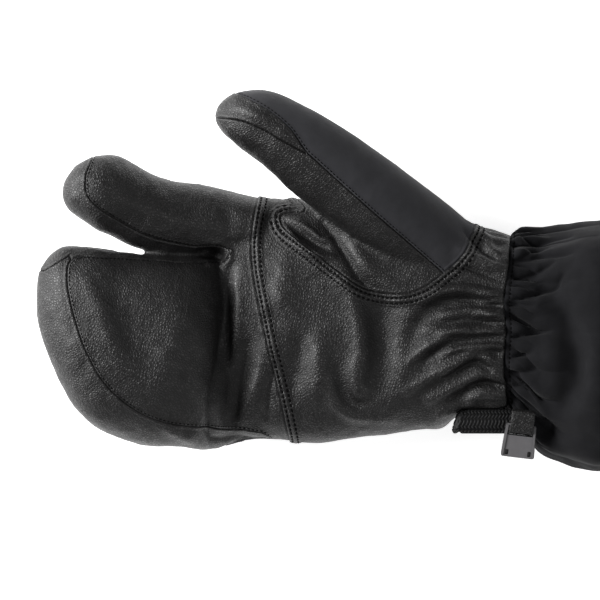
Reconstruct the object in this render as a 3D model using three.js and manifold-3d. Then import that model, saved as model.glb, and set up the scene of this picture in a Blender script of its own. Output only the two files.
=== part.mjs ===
// A lobster claw ski mitt for the right hand: one stall for the index finger, one wide
// pouch for the other three, a thumb, and a gauntlet cuff gathered on to a leather hand.
// It lies on its back with the palm up. Millimetres: +X runs from the fingertips to the
// cuff, +Y to the thumb side, +Z out of the palm, and the back of the hand rests at Z = 0.
//
// The hand is made as the real one is: the outer forms of palm, index stall, pouch and
// thumb are lofted and joined, the same forms one wall smaller are taken out, and the
// padded shell that is left is cut along its seams into the panels that are sewn together.

import * as THREE from "three";
import { mergeVertices } from "three/addons/utils/BufferGeometryUtils.js";
import Module from "manifold-3d";

const wasm = await Module();
wasm.setup();
const { Manifold, Mesh } = wasm;

// Driving sizes of the hand
const HAND_LENGTH = 211; // wrist seam to the end of the pouch
const PALM_WIDTH = 110;
const HAND_DEPTH = 48; // back of the hand to the palm
const WRIST_X = 59.4; // the wrist seam, ahead of the middle of the palm
const WALL = 3.4; // leather or softshell, padding and lining together
const SEAM_GAP = 0.4; // between two panels that are sewn edge to edge

// Driving sizes of the index stall, the pouch and the thumb
const INDEX_LENGTH = 91.6;
const INDEX_WIDTH = 34;
const INDEX_SPREAD = 11.3; // degrees from the line of the hand
const POUCH_WIDTH = PALM_WIDTH - 0.735 * INDEX_WIDTH; // what the index stall leaves of the palm
const THUMB_LENGTH = 124;
const THUMB_WIDTH = 37.4;
const THUMB_SPREAD = 34;

// Driving sizes of the cuff
const CUFF_LENGTH = 95; // wrist seam to the hem's free edge
const CUFF_WIDTH = 116; // at the hem
const CUFF_DEPTH = 64; // at the hem
const CUFF_WALL = 2.6;
const HEM_LENGTH = 14;
const HEM_STEP = 0.9; // how far the hem band stands proud of the cuff
const PLEAT_DEPTH = 2.2; // of the cuff's gathers beside the wrist seam
const LEATHER_PLEAT_DEPTH = 1.6;
const PLEAT_REACH = 8; // from the wrist seam to where the gathers are deepest
const CUFF_PLEATS = 13;
const LEATHER_PLEATS = 8;

// Driving sizes of the leash, its tab and its clip
const LEASH_WIDTH = 9.4;
const LEASH_THICKNESS = 2.2;
const LEASH_LENGTH = 27.8; // of the stowed loop
const LEASH_TUCK = 2.4; // of the loop's ends, past the wrist seam under the tab
const LEASH_BEND = 0.7; // inner radius of the loop's turn
const LEASH_SLANT = 0.95; // how far the loop's turn leans over, for each millimetre of width
const TAB_WIDTH = 11.2;
const TAB_THICKNESS = 1.4;
const TAB_ROOT = 5; // of the tab, from its stitching to the clip
const CLIP_WIDTH = 15.2;
const CLIP_LENGTH = 15.4;
const CLIP_THICKNESS = 2.4;
const CLIP_TAPER = 0.8; // how much narrower each side is beside the tab
const CLIP_BAR = 3.2; // the bar that the tab goes round
const CLIP_NOTCH = 1.6; // width of the two pockets at its free end
const CLIP_POCKET = 1.2; // their depth
const CLIP_CORNER = 1.2;
const CLIP_TURN = 7; // degrees, as it lies on its tab
const CLIP_DROOP = 12;
const CLIP_OUT = 6.5; // from the hand's edge at the wrist out to the clip
const FIT_GAP = 0.35; // between pieces that touch

const radians = THREE.MathUtils.degToRad;

// The value of a named column at a station, on a smooth curve through the table's rows.
function columnAt(rows, column, along) {
  const last = rows.length - 1;
  let i = 0;
  while (i < last - 1 && along > rows[i + 1].along) i++;
  const slope = (k) => {
    const a = rows[Math.max(k - 1, 0)];
    const b = rows[Math.min(k + 1, last)];
    return (b[column] - a[column]) / (b.along - a.along);
  };
  const [a, b] = [rows[i], rows[i + 1]];
  const step = b.along - a.along;
  const t = (along - a.along) / step;
  return (
    a[column] * (1 + 2 * t) * (1 - t) ** 2 +
    slope(i) * step * t * (1 - t) ** 2 +
    b[column] * t * t * (3 - 2 * t) -
    slope(i + 1) * step * t * t * (1 - t)
  );
}

// Every form of the hand is a tube: upright sections along a level heading. A row gives,
// at a share of the tube's length, the section's sway to the thumb side and its width as
// shares of the tube's width, and its lift and its reach up and down as shares of the
// hand's depth. The last part of a tube with a tip closes like the end of an egg. `around`
// and `stations` say how finely the outside and the inside are faceted: round each ring,
// and along the tube.
const palmForm = {
  root: [0, 0],
  heading: 0,
  length: HAND_LENGTH,
  width: PALM_WIDTH,
  corner: 2.5,
  around: [36, 26],
  stations: [16, 10],
  rows: [
    { along: 0, sway: -0.008, wide: 0.71, lift: 0.53, up: 0.46, down: 0.53 },
    { along: 0.058, sway: 0.004, wide: 0.745, lift: 0.52, up: 0.46, down: 0.55 },
    { along: 0.1, sway: 0.008, wide: 0.79, lift: 0.51, up: 0.48, down: 0.56 },
    { along: 0.137, sway: -0.004, wide: 0.892, lift: 0.505, up: 0.49, down: 0.565 },
    { along: 0.186, sway: 0.018, wide: 0.945, lift: 0.5, up: 0.5, down: 0.57 },
    { along: 0.271, sway: 0.012, wide: 0.982, lift: 0.5, up: 0.5, down: 0.57 },
    { along: 0.441, sway: 0.002, wide: 0.994, lift: 0.5, up: 0.47, down: 0.57 },
    { along: 0.527, sway: 0.004, wide: 0.998, lift: 0.5, up: 0.42, down: 0.57 },
    { along: 0.575, sway: 0.004, wide: 1, lift: 0.5, up: 0.38, down: 0.54 },
    { along: 0.612, sway: -0.004, wide: 0.93, lift: 0.55, up: 0.28, down: 0.36 },
  ],
};

const indexForm = {
  root: [0.523, 0.5 - (0.4 * INDEX_WIDTH) / PALM_WIDTH],
  heading: INDEX_SPREAD,
  length: INDEX_LENGTH,
  width: INDEX_WIDTH,
  tip: 22,
  corner: 2.3,
  around: [16, 12],
  stations: [6, 4],
  rows: [
    { along: 0, sway: 0, wide: 0.8, lift: 0.5, up: 0.36, down: 0.36 },
    { along: 0.247, sway: -0.052, wide: 0.9, lift: 0.56, up: 0.36, down: 0.36 },
    { along: 0.403, sway: -0.109, wide: 0.99, lift: 0.63, up: 0.35, down: 0.35 },
    { along: 0.565, sway: -0.088, wide: 1.02, lift: 0.72, up: 0.34, down: 0.34 },
    { along: 0.734, sway: 0.037, wide: 1.05, lift: 0.84, up: 0.34, down: 0.33 },
    { along: 0.856, sway: 0.052, wide: 1.0, lift: 0.91, up: 0.33, down: 0.32 },
    { along: 1, sway: 0.003, wide: 0.96, lift: 0.95, up: 0.31, down: 0.3 },
  ],
};

const pouchForm = {
  root: [0.548, (-0.517 * PALM_WIDTH + POUCH_WIDTH / 2) / PALM_WIDTH],
  heading: 0,
  length: HAND_LENGTH * (1 - 0.548),
  width: POUCH_WIDTH,
  tip: 32,
  corner: 2.4,
  around: [24, 18],
  stations: [6, 4],
  rows: [
    { along: 0, sway: 0, wide: 0.96, lift: 0.46, up: 0.1, down: 0.4 },
    { along: 0.1, sway: -0.01, wide: 0.99, lift: 0.54, up: 0.3, down: 0.46 },
    { along: 0.19, sway: -0.016, wide: 1.027, lift: 0.61, up: 0.5, down: 0.46 },
    { along: 0.33, sway: 0.003, wide: 1.011, lift: 0.7, up: 0.53, down: 0.44 },
    { along: 0.481, sway: 0.013, wide: 1.001, lift: 0.77, up: 0.5, down: 0.41 },
    { along: 0.632, sway: 0.048, wide: 0.975, lift: 0.83, up: 0.46, down: 0.39 },
    { along: 0.783, sway: 0.106, wide: 0.96, lift: 0.88, up: 0.43, down: 0.37 },
    { along: 0.896, sway: 0.206, wide: 0.95, lift: 0.91, up: 0.4, down: 0.36 },
    { along: 1, sway: 0.291, wide: 0.94, lift: 0.92, up: 0.38, down: 0.35 },
  ],
};

const thumbForm = {
  root: [0.122, 0.254],
  heading: THUMB_SPREAD,
  length: THUMB_LENGTH,
  width: THUMB_WIDTH,
  tip: 19,
  corner: 2.3,
  around: [16, 12],
  stations: [9, 7],
  rows: [
    { along: -0.12, sway: 0, wide: 0.9, lift: 0.52, up: 0.34, down: 0.3 },
    { along: 0.132, sway: 0.017, wide: 1, lift: 0.66, up: 0.4, down: 0.34 },
    { along: 0.351, sway: 0.063, wide: 1, lift: 0.83, up: 0.37, down: 0.34 },
    { along: 0.563, sway: 0.07, wide: 1, lift: 0.94, up: 0.35, down: 0.33 },
    { along: 0.762, sway: 0.096, wide: 0.85, lift: 1.0, up: 0.33, down: 0.31 },
    { along: 0.904, sway: 0.046, wide: 0.76, lift: 1.03, up: 0.3, down: 0.28 },
    { along: 1, sway: -0.04, wide: 0.72, lift: 1.03, up: 0.27, down: 0.26 },
  ],
};

// Folds of the palm side, in the hand's frame: lines from one point to another, with a
// depth and a half width as shares of the hand's depth. A negative depth is a ridge.
const palmFolds = [
  { from: [0.275, 0.04], to: [0.26, -0.26], depth: 0.11, width: 0.16 }, // hollow of the palm
  { from: [0.33, -0.05], to: [0.31, -0.24], depth: -0.05, width: 0.13 }, // roll beside it
  { from: [0.2, -0.08], to: [0.08, -0.2], depth: 0.06, width: 0.12 }, // crease of the heel
  { from: [0.18, 0.02], to: [0.06, -0.02], depth: -0.05, width: 0.12 }, // ridge to the wrist
  { from: [0.345, 0.32], to: [0.29, 0.17], depth: 0.09, width: 0.13 }, // crease under the thumb
  { from: [0.56, -0.2], to: [0.545, -0.36], depth: -0.05, width: 0.09 }, // roll at the pouch
];

// A point of the hand's frame, in shares of its length and width, as plan X and Y.
const handPoint = ([along, across]) =>
  new THREE.Vector2(WRIST_X - along * HAND_LENGTH, across * PALM_WIDTH);

// A point of a tube's frame in plan: a share of its length, and a share of its width
// towards the thumb side.
function tubePoint(form, [along, across]) {
  const angle = radians(form.heading);
  const ahead = new THREE.Vector2(-Math.cos(angle), Math.sin(angle));
  const aside = new THREE.Vector2(Math.sin(angle), Math.cos(angle));
  return handPoint(form.root)
    .addScaledVector(ahead, along * form.length)
    .addScaledVector(aside, across * form.width);
}

const distanceToLine = (p, a, b) => {
  const line = b.clone().sub(a);
  const t = THREE.MathUtils.clamp(p.clone().sub(a).dot(line) / line.lengthSq(), 0, 1);
  return p.distanceTo(a.clone().addScaledVector(line, t));
};

// How far the palm side sinks at a point: each fold is a bell across its line.
function foldDepth(point) {
  let sum = 0;
  for (const fold of palmFolds) {
    const away = distanceToLine(point, handPoint(fold.from), handPoint(fold.to));
    sum += fold.depth * HAND_DEPTH * Math.exp(-((away / (fold.width * HAND_DEPTH)) ** 2));
  }
  return sum;
}

// The gathers beside the wrist seam: waves of uneven pitch that rise from the seam, where
// the edge is stitched flat, and die away behind their deepest place.
function gather(angle, pleats, depth, fromSeam) {
  const wave = Math.cos(pleats * angle + 0.9 * Math.sin(3 * angle + 0.5));
  const t = Math.max(fromSeam, 0) / PLEAT_REACH;
  return depth * wave * t * Math.exp(1 - t);
}

// One point of an upright section: a rounded box, `corner` 2 being an ellipse. It is
// flattened where it rests, at the height `floor`.
function sectionPoint(centre, aside, half, up, down, corner, angle, floor) {
  const [c, s] = [Math.cos(angle), Math.sin(angle)];
  const across = half * Math.sign(c) * Math.abs(c) ** (2 / corner);
  const rise = (s > 0 ? up : down) * Math.sign(s) * Math.abs(s) ** (2 / corner);
  return new THREE.Vector3(
    centre.x + aside.x * across,
    centre.y + aside.y * across,
    Math.max(centre.z + rise, floor),
  );
}

// A ring of points round a tube, `distance` along it from its root, taken in by `inset`.
function formRing(form, distance, inset, around) {
  const along = distance / form.length;
  const value = (column) => columnAt(form.rows, column, along);
  const end = form.length - inset;
  const closing = form.tip ? Math.max((distance - (end - form.tip)) / form.tip, 0) : 0;
  const round = Math.sqrt(Math.max(1 - closing ** 2, 0));
  const middle = tubePoint(form, [along, value("sway")]);
  const centre = new THREE.Vector3(middle.x, middle.y, value("lift") * HAND_DEPTH);
  const angle = radians(form.heading);
  const aside = new THREE.Vector2(Math.sin(angle), Math.cos(angle));
  const half = ((value("wide") * form.width) / 2 - inset) * round;
  const up = (value("up") * HAND_DEPTH - inset) * round;
  const down = (value("down") * HAND_DEPTH - inset) * round;
  const ring = [];
  for (let k = 0; k < around; k++) {
    const turn = (2 * Math.PI * k) / around;
    const depth = form === palmForm ? LEATHER_PLEAT_DEPTH : 0;
    const ruffle = gather(turn, LEATHER_PLEATS, depth, distance);
    const p = sectionPoint(
      centre, aside, half + ruffle, up + ruffle, down, form.corner, turn, inset,
    );
    const facingUp = THREE.MathUtils.smoothstep(p.z - centre.z, 0, up * 0.9 + 0.01);
    p.z -= foldDepth(new THREE.Vector2(p.x, p.y)) * facingUp * round;
    ring.push(p);
  }
  return ring;
}

// The triangles between neighbouring rings of equally many points. The rings turn
// anticlockwise as seen from the last one, and the points are numbered ring by ring.
function bands(count, around, closed) {
  const triangles = [];
  for (let i = 0; i < (closed ? count : count - 1); i++) {
    for (let k = 0; k < around; k++) {
      const next = ((i + 1) % count) * around;
      const [a, b] = [i * around + k, i * around + ((k + 1) % around)];
      const [c, d] = [next + k, next + ((k + 1) % around)];
      triangles.push(a, b, d, a, d, c);
    }
  }
  return triangles;
}

// A closed solid through rings, with a flat or pointed cap at each end.
function loft(rings) {
  const around = rings[0].length;
  const points = rings.flat();
  const triangles = bands(rings.length, around, false);
  for (const [ring, first, turned] of [
    [rings[0], 0, true],
    [rings.at(-1), (rings.length - 1) * around, false],
  ]) {
    const middle = new THREE.Vector3();
    ring.forEach((p) => middle.addScaledVector(p, 1 / around));
    const m = points.push(middle) - 1;
    for (let k = 0; k < around; k++) {
      const [a, b] = [first + k, first + ((k + 1) % around)];
      triangles.push(...(turned ? [m, b, a] : [m, a, b]));
    }
  }
  return solidFrom(points.flatMap((p) => p.toArray()), triangles);
}

// An open tube's wall: rings along the outside and back along the inside, closed into one.
function tubeWall(outside, inside) {
  const rings = [...outside, ...inside.reverse()];
  const triangles = bands(rings.length, rings[0].length, true);
  return solidFrom(rings.flat().flatMap((p) => p.toArray()), triangles);
}

const solidFrom = (positions, triangles) =>
  new Manifold(
    new Mesh({
      numProp: 3,
      vertProperties: new Float32Array(positions),
      triVerts: new Uint32Array(triangles),
    }),
  );

// A three.js geometry as a solid, and a solid as a three.js geometry.
function solidOf(geometry) {
  const bare = new THREE.BufferGeometry();
  bare.setAttribute("position", geometry.getAttribute("position"));
  if (geometry.index) bare.setIndex(geometry.index);
  const merged = mergeVertices(bare, 1e-4);
  return solidFrom(merged.attributes.position.array, merged.index.array);
}

function geometryOf(solid) {
  const mesh = solid.getMesh();
  const geometry = new THREE.BufferGeometry();
  geometry.setAttribute("position", new THREE.BufferAttribute(mesh.vertProperties, 3));
  geometry.setIndex(new THREE.BufferAttribute(mesh.triVerts, 1));
  geometry.computeVertexNormals();
  return geometry;
}

// The lofted solid of one form from `start` mm along it to its end, taken in by `inset`.
// The stations are even along the tube and crowd together where a tip closes.
function formSolid(form, inset, start = form.rows[0].along * form.length) {
  const end = form.rows.at(-1).along * form.length - inset;
  const straight = end - (form.tip ?? 0);
  const around = form.around[inset ? 1 : 0];
  const count = form.stations[inset ? 1 : 0];
  const rings = [];
  for (let i = 0; i <= count; i++) {
    rings.push(formRing(form, start + ((straight - start) * i) / count, inset, around));
  }
  const tipSteps = inset ? 3 : 4;
  for (let i = 1; form.tip && i <= tipSteps; i++) {
    const closing = Math.sin((Math.PI / 2) * (i / (tipSteps + 0.35)));
    rings.push(formRing(form, straight + form.tip * closing, inset, around));
  }
  return loft(rings.map((ring) => ring.reverse()));
}

// Joins the four outer or inner forms into one solid.
function handSolid(inset, openEnd) {
  return formSolid(palmForm, inset, openEnd)
    .add(formSolid(indexForm, inset))
    .add(formSolid(pouchForm, inset))
    .add(formSolid(thumbForm, inset));
}

// Seams, as seen from the palm. Each is a short list of points that a spline runs through.
const smooth = (points, steps = 3) =>
  new THREE.SplineCurve(points).getPoints((points.length - 1) * steps);
const onHand = (points) => points.map(handPoint);
const onTube = (form, points) => points.map((p) => tubePoint(form, p));

// The double-stitched seam across the palm, from the index side to the outer side.
const palmSeam = smooth(
  onHand([
    [0.518, 0.62], [0.531, 0.43], [0.535, 0.307], [0.533, 0.184], [0.52, 0],
    [0.501, -0.184], [0.478, -0.368], [0.45, -0.62],
  ]),
);

// The seam round the base of the thumb: its point reaches towards the index finger.
const thumbBaseSeam = smooth(
  onHand([
    [0.608, 0.696], [0.522, 0.556], [0.459, 0.482], [0.452, 0.448], [0.478, 0.443],
    [0.499, 0.42], [0.488, 0.368], [0.463, 0.311], [0.416, 0.221], [0.345, 0.135],
    [0.282, 0.082], [0.228, 0.053], [0.175, 0.074], [0.122, 0.139], [0.083, 0.237],
    [0.066, 0.327], [0.064, 0.43], [0.07, 0.56],
  ]),
);

// Where the palm side of the index stall meets its side strip.
const indexSeam = onTube(indexForm, [
  [0.86, 0.7], [0.883, 0.361], [0.889, 0.169], [0.87, -0.023], [0.799, -0.174],
  [0.69, -0.29], [0.557, -0.394], [0.429, -0.433], [0.304, -0.42], [0.219, -0.361],
]);
const crotchSeam = onHand([[0.594, 0.288], [0.596, 0.26], [0.618, 0.238]]);
const pouchInnerSeam = onTube(pouchForm, [
  [0.283, 0.475], [0.472, 0.485], [0.69, 0.5], [0.79, 0.505],
]);
const pouchOuterSeam = onTube(pouchForm, [
  [0.842, 0.48], [0.854, 0.42], [0.849, 0.328], [0.816, 0.169], [0.755, -0.016],
  [0.67, -0.175], [0.542, -0.296], [0.401, -0.365], [0.236, -0.397], [0.118, -0.408],
  [0, -0.424], [-0.085, -0.46], [-0.16, -0.6],
]);
const fingerSeam = smooth(
  [...indexSeam, ...crotchSeam, ...pouchInnerSeam, ...pouchOuterSeam],
  2,
);

// Where the thumb's leather palm and its leather tip meet the softshell back.
const thumbBackSeam = smooth(
  onTube(thumbForm, [
    [1.08, 0.16], [1.011, 0.16], [0.92, 0.22], [0.836, 0.235], [0.741, 0.2],
    [0.651, 0.09], [0.6, 0.06], [0.338, -0.059], [0.044, -0.171], [-0.1, -0.24],
  ]),
);
const thumbTipSeam = smooth(
  onTube(thumbForm, [
    [1.08, -0.22], [0.994, -0.191], [0.908, -0.056], [0.814, 0.01], [0.732, 0.03],
    [0.64, 0.062],
  ]),
);

// A closed plan outline, moved out by `by` (or in, where it is negative).
function offsetOutline(points, by) {
  const turning = THREE.ShapeUtils.area(points) > 0 ? 1 : -1;
  const n = points.length;
  return points.map((p, i) => {
    const before = p.clone().sub(points[(i + n - 1) % n]).normalize();
    const after = points[(i + 1) % n].clone().sub(p).normalize();
    const normal = new THREE.Vector2(before.y + after.y, -before.x - after.x).normalize();
    const miter = Math.max(normal.dot(new THREE.Vector2(before.y, -before.x)), 0.4);
    return p.clone().addScaledVector(normal, (turning * by) / miter);
  });
}

// An upright prism over a plan outline, tall enough to cut through the whole mitt.
const TALL = 3 * HAND_DEPTH;
const WIDE = 3 * (PALM_WIDTH + CUFF_WIDTH);
const LONG = 3 * (HAND_LENGTH + CUFF_LENGTH);
function prism(points, by) {
  const shape = new THREE.Shape(offsetOutline(points, by));
  const geometry = new THREE.ExtrudeGeometry(shape, { depth: 2 * TALL, bevelEnabled: false });
  return solidOf(geometry.translate(0, 0, -TALL));
}

// A prism across the mitt, over an outline drawn in X and Z as it is seen from the side.
function sidePrism(points, by) {
  const shape = new THREE.Shape(offsetOutline(points, by));
  const geometry = new THREE.ExtrudeGeometry(shape, { depth: 2 * WIDE, bevelEnabled: false });
  return solidOf(geometry.translate(0, 0, -WIDE).rotateX(Math.PI / 2));
}

const far = (x, y) => new THREE.Vector2(x * LONG, y * WIDE);
const halfGap = SEAM_GAP / 2;

// The seam between palm side and back runs along the side walls and rises with the
// fingers. Above it is the palm side.
const sideSeam = smooth(
  [
    [-0.1, 0.36], [0.1, 0.37], [0.3, 0.38], [0.5, 0.42], [0.65, 0.54], [0.8, 0.66],
    [0.92, 0.74], [1.2, 0.8],
  ].map(([along, height]) => new THREE.Vector2(handPoint([along, 0]).x, height * HAND_DEPTH)),
);
const aboveSideSeam = [...sideSeam, far(-1, 0.5), far(1, 0.5)];

// Plan outlines on the finger side of each seam
const beyondPalmSeam = [...palmSeam, far(-1, -1), far(-1, 1)];
const insideFingerSeam = [...fingerSeam, far(1, -1), far(1, 1), far(-0.1, 1)];
const insideThumbSeam = [...thumbBaseSeam, far(0, 1), far(-1, 1), handPoint([0.66, 0.86])];
const behindThumbSeam = [...thumbBackSeam, far(1, 0.2), far(0, 1), far(-1, 1)];
const throughTipSeam = [
  ...thumbTipSeam, ...onTube(thumbForm, [[0.6, 0.3], [0.6, 1.5], [1.3, 1.5], [1.3, -0.22]]),
];
const pouchCorner = onHand([[0.93, 0.262], [0.985, 0.2]]);
const pouchOuterSide = [pouchCorner[0], pouchCorner[1], far(-1, 0.1), far(-1, -1), far(1, -1),
  handPoint([0.4, -0.2]), handPoint([0.9, 0.15])];
const knuckleLine = [handPoint([0.6, 2]), handPoint([0.6, -2]), far(-1, -1), far(-1, 1)];

// The padded shell of the hand, open at the wrist
const handOuter = handSolid(0, halfGap);
const handInner = handSolid(WALL, -WALL);
const handShell = handOuter.subtract(handInner);

const palmSide = handShell.intersect(sidePrism(aboveSideSeam, -halfGap));
const backSide = handShell.subtract(sidePrism(aboveSideSeam, halfGap));
const thumbShell = palmSide.intersect(prism(insideThumbSeam, -halfGap));
const palmRest = palmSide.subtract(prism(insideThumbSeam, halfGap));
const fingerRest = palmRest.intersect(prism(beyondPalmSeam, -halfGap));
const strips = fingerRest.subtract(prism(insideFingerSeam, halfGap));
const thumbFront = thumbShell.subtract(prism(behindThumbSeam, halfGap));

const panels = {
  palm_panel: palmRest.subtract(prism(beyondPalmSeam, halfGap)),
  finger_palm_panel: fingerRest.intersect(prism(insideFingerSeam, -halfGap)),
  finger_side_strip: strips.subtract(prism(pouchOuterSide, halfGap)),
  pouch_side_strip: strips.intersect(prism(pouchOuterSide, -halfGap)),
  hand_back_panel: backSide.subtract(prism(knuckleLine, halfGap)),
  finger_back_panel: backSide.intersect(prism(knuckleLine, -halfGap)),
  thumb_palm_panel: thumbFront.subtract(prism(throughTipSeam, halfGap)),
  thumb_tip_cap: thumbFront.intersect(prism(throughTipSeam, -halfGap)),
  thumb_back_panel: thumbShell.intersect(prism(behindThumbSeam, -halfGap)),
};

// The cuff's sections: shares of its length, of its width at the hem and of its depth at
// the hem. It swells out of the gathers, more so low on the outer side where it slumps.
const cuffForm = [
  { along: 0, sway: -0.0076, wide: 0.673, lift: 0.397, up: 0.345, down: 0.397 },
  { along: 0.06, sway: -0.032, wide: 0.74, lift: 0.33, up: 0.39, down: 0.34 },
  { along: 0.157, sway: -0.08, wide: 0.845, lift: 0.26, up: 0.46, down: 0.3 },
  { along: 0.25, sway: -0.092, wide: 0.9, lift: 0.3, up: 0.5, down: 0.34 },
  { along: 0.42, sway: -0.101, wide: 0.962, lift: 0.4, up: 0.53, down: 0.43 },
  { along: 1, sway: -0.103, wide: 1, lift: 0.48, up: 0.52, down: 0.5 },
];
const CUFF_CORNER = 2.1;

// A ring of the cuff, `distance` from the wrist seam, grown by `proud`.
function cuffRing(distance, proud, around) {
  const value = (column) => columnAt(cuffForm, column, distance / CUFF_LENGTH);
  const centre = new THREE.Vector3(
    WRIST_X + distance, value("sway") * CUFF_WIDTH, value("lift") * CUFF_DEPTH,
  );
  return Array.from({ length: around }, (_, k) => {
    const angle = (2 * Math.PI * k) / around;
    const swell = proud + gather(angle, CUFF_PLEATS, PLEAT_DEPTH, distance);
    return sectionPoint(
      centre, new THREE.Vector2(0, 1), (value("wide") * CUFF_WIDTH) / 2 + swell,
      value("up") * CUFF_DEPTH + swell, value("down") * CUFF_DEPTH + swell,
      CUFF_CORNER, angle, Math.max(-proud, 0),
    );
  });
}

// The height of the cuff's palm side over a plan point, or 0 beside the cuff.
function cuffTop({ x, y }) {
  const ring = cuffRing(x - WRIST_X, 0, 8 * CUFF_PLEATS);
  let top = 0;
  ring.forEach((a, k) => {
    const b = ring[(k + 1) % ring.length];
    const t = (y - a.y) / (b.y - a.y);
    if (t >= 0 && t <= 1) top = Math.max(top, a.z + (b.z - a.z) * t);
  });
  return top;
}

const cuffAround = 4 * CUFF_PLEATS;
const hemStart = CUFF_LENGTH - HEM_LENGTH;
const cuffEnd = hemStart - FIT_GAP;
const cuffStations = [
  FIT_GAP, 0.5 * PLEAT_REACH, PLEAT_REACH, 1.6 * PLEAT_REACH, 2.3 * PLEAT_REACH,
  3.4 * PLEAT_REACH, (3.4 * PLEAT_REACH + cuffEnd) / 2, cuffEnd,
];
const gauntletCuff = tubeWall(
  cuffStations.map((distance) => cuffRing(distance, 0, cuffAround)),
  cuffStations.map((distance) => cuffRing(distance, -CUFF_WALL, cuffAround)),
);

// The hem: the cuff's end folded inwards, so it is a thicker band with a rounded edge.
const hemAround = 44;
const hemWall = CUFF_WALL + HEM_STEP;
const hemStations = [hemStart, hemStart + HEM_STEP, CUFF_LENGTH - HEM_STEP, CUFF_LENGTH];
const hemRings = (proud, ease) =>
  hemStations.map((distance, i) => {
    const edge = i === 0 || i === hemStations.length - 1;
    return cuffRing(distance, proud + (edge ? ease : 0), hemAround);
  });
const cuffHem = tubeWall(hemRings(HEM_STEP, -HEM_STEP), hemRings(-hemWall, HEM_STEP));

// The tab and the clip have a frame of their own: the bar that the tab goes round lies
// along X at the origin, the clip reaches to -Y and its faces lie at Z = 0 and its thickness.
function roundedOutline(corners, radius) {
  const outline = new THREE.Shape();
  const n = corners.length;
  corners.forEach((corner, i) => {
    const from = corners[(i + n - 1) % n].clone().sub(corner).setLength(radius).add(corner);
    const to = corners[(i + 1) % n].clone().sub(corner).setLength(radius).add(corner);
    if (i === 0) outline.moveTo(from.x, from.y);
    else outline.lineTo(from.x, from.y);
    outline.quadraticCurveTo(corner.x, corner.y, to.x, to.y);
  });
  outline.closePath();
  return outline;
}
const plan = (x, y) => new THREE.Vector2(x, y);
const rectangle = (left, low, right, high) =>
  [plan(left, low), plan(right, low), plan(right, high), plan(left, high)];

const slotHeight = TAB_THICKNESS + 2 * FIT_GAP;
const slotHalf = TAB_WIDTH / 2 + FIT_GAP;
const [narrow, broad] = [CLIP_WIDTH / 2 - CLIP_TAPER, CLIP_WIDTH / 2];
const clipOutline = roundedOutline(
  [plan(-broad, -CLIP_LENGTH), plan(broad, -CLIP_LENGTH), plan(narrow, 0), plan(-narrow, 0)],
  CLIP_CORNER,
);
clipOutline.holes.push(
  roundedOutline(
    rectangle(-slotHalf, -CLIP_BAR - slotHeight, slotHalf, -CLIP_BAR), slotHeight / 3,
  ),
);
const clipPlate = solidOf(
  new THREE.ExtrudeGeometry(clipOutline, {
    depth: CLIP_THICKNESS, bevelEnabled: false, curveSegments: 3,
  }),
);

// Two blind pockets in the plate's outer face, at the corners of its free end
const clipPockets = [-1, 1].map((side) => {
  const middle = side * (broad - 1.6 * CLIP_NOTCH);
  const outline = roundedOutline(
    rectangle(
      middle - CLIP_NOTCH / 2, -CLIP_LENGTH + 0.6 * CLIP_NOTCH,
      middle + CLIP_NOTCH / 2, -CLIP_LENGTH + 2.1 * CLIP_NOTCH,
    ),
    CLIP_NOTCH / 3,
  );
  const pocket = new THREE.ExtrudeGeometry(outline, {
    depth: CLIP_THICKNESS, bevelEnabled: false, curveSegments: 3,
  });
  return solidOf(pocket.translate(0, 0, CLIP_THICKNESS - CLIP_POCKET));
});
const clipGeometry = geometryOf(clipPlate.subtract(clipPockets[0]).subtract(clipPockets[1]));

// The tab is a leather loop, drawn in Y and Z: over the bar, down through the slot and back
// under it, and stitched to itself at its root.
const tabOuterEnd = -CLIP_BAR - FIT_GAP - TAB_THICKNESS;
const tabOutline = roundedOutline(
  rectangle(
    tabOuterEnd, -FIT_GAP - TAB_THICKNESS, TAB_ROOT, CLIP_THICKNESS + FIT_GAP + TAB_THICKNESS,
  ),
  TAB_THICKNESS,
);
tabOutline.holes.push(
  roundedOutline(
    rectangle(-CLIP_BAR - FIT_GAP, -FIT_GAP, FIT_GAP, CLIP_THICKNESS + FIT_GAP), FIT_GAP,
  ),
);
const tabGeometry = new THREE.ExtrudeGeometry(tabOutline, {
  depth: TAB_WIDTH, bevelEnabled: false, curveSegments: 4,
})
  .translate(0, 0, -TAB_WIDTH / 2)
  .applyMatrix4(new THREE.Matrix4().set(0, 0, 1, 0, 1, 0, 0, 0, 0, 1, 0, 0, 0, 0, 0, 1));

// They lie beside the wrist seam on the outer flank of the cuff: as low as they can
// without touching it.
const fastening = new THREE.Group();
const wristEdge = Math.min(...cuffRing(0, 0, cuffAround).map((p) => p.y));
fastening.rotation.set(radians(CLIP_DROOP), 0, radians(-CLIP_TURN), "ZYX");
fastening.position.set(WRIST_X + 2 * FIT_GAP + TAB_WIDTH / 2, wristEdge - CLIP_OUT, 0);
fastening.updateMatrixWorld();
const undersides = [];
for (const x of [-0.5, -0.25, 0, 0.25, 0.5]) {
  for (const share of [0, 0.25, 0.5, 0.75, 1]) {
    const y = THREE.MathUtils.lerp(TAB_ROOT, tabOuterEnd, share);
    undersides.push(new THREE.Vector3(x * TAB_WIDTH, y, -FIT_GAP - TAB_THICKNESS));
    undersides.push(new THREE.Vector3(x * CLIP_WIDTH, -CLIP_LENGTH * share, 0));
  }
}
const clearances = undersides.map((p) => {
  const low = p.clone().applyMatrix4(fastening.matrixWorld);
  return cuffTop(low) - low.z;
});
fastening.position.z = Math.max(...clearances) + FIT_GAP;

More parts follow.
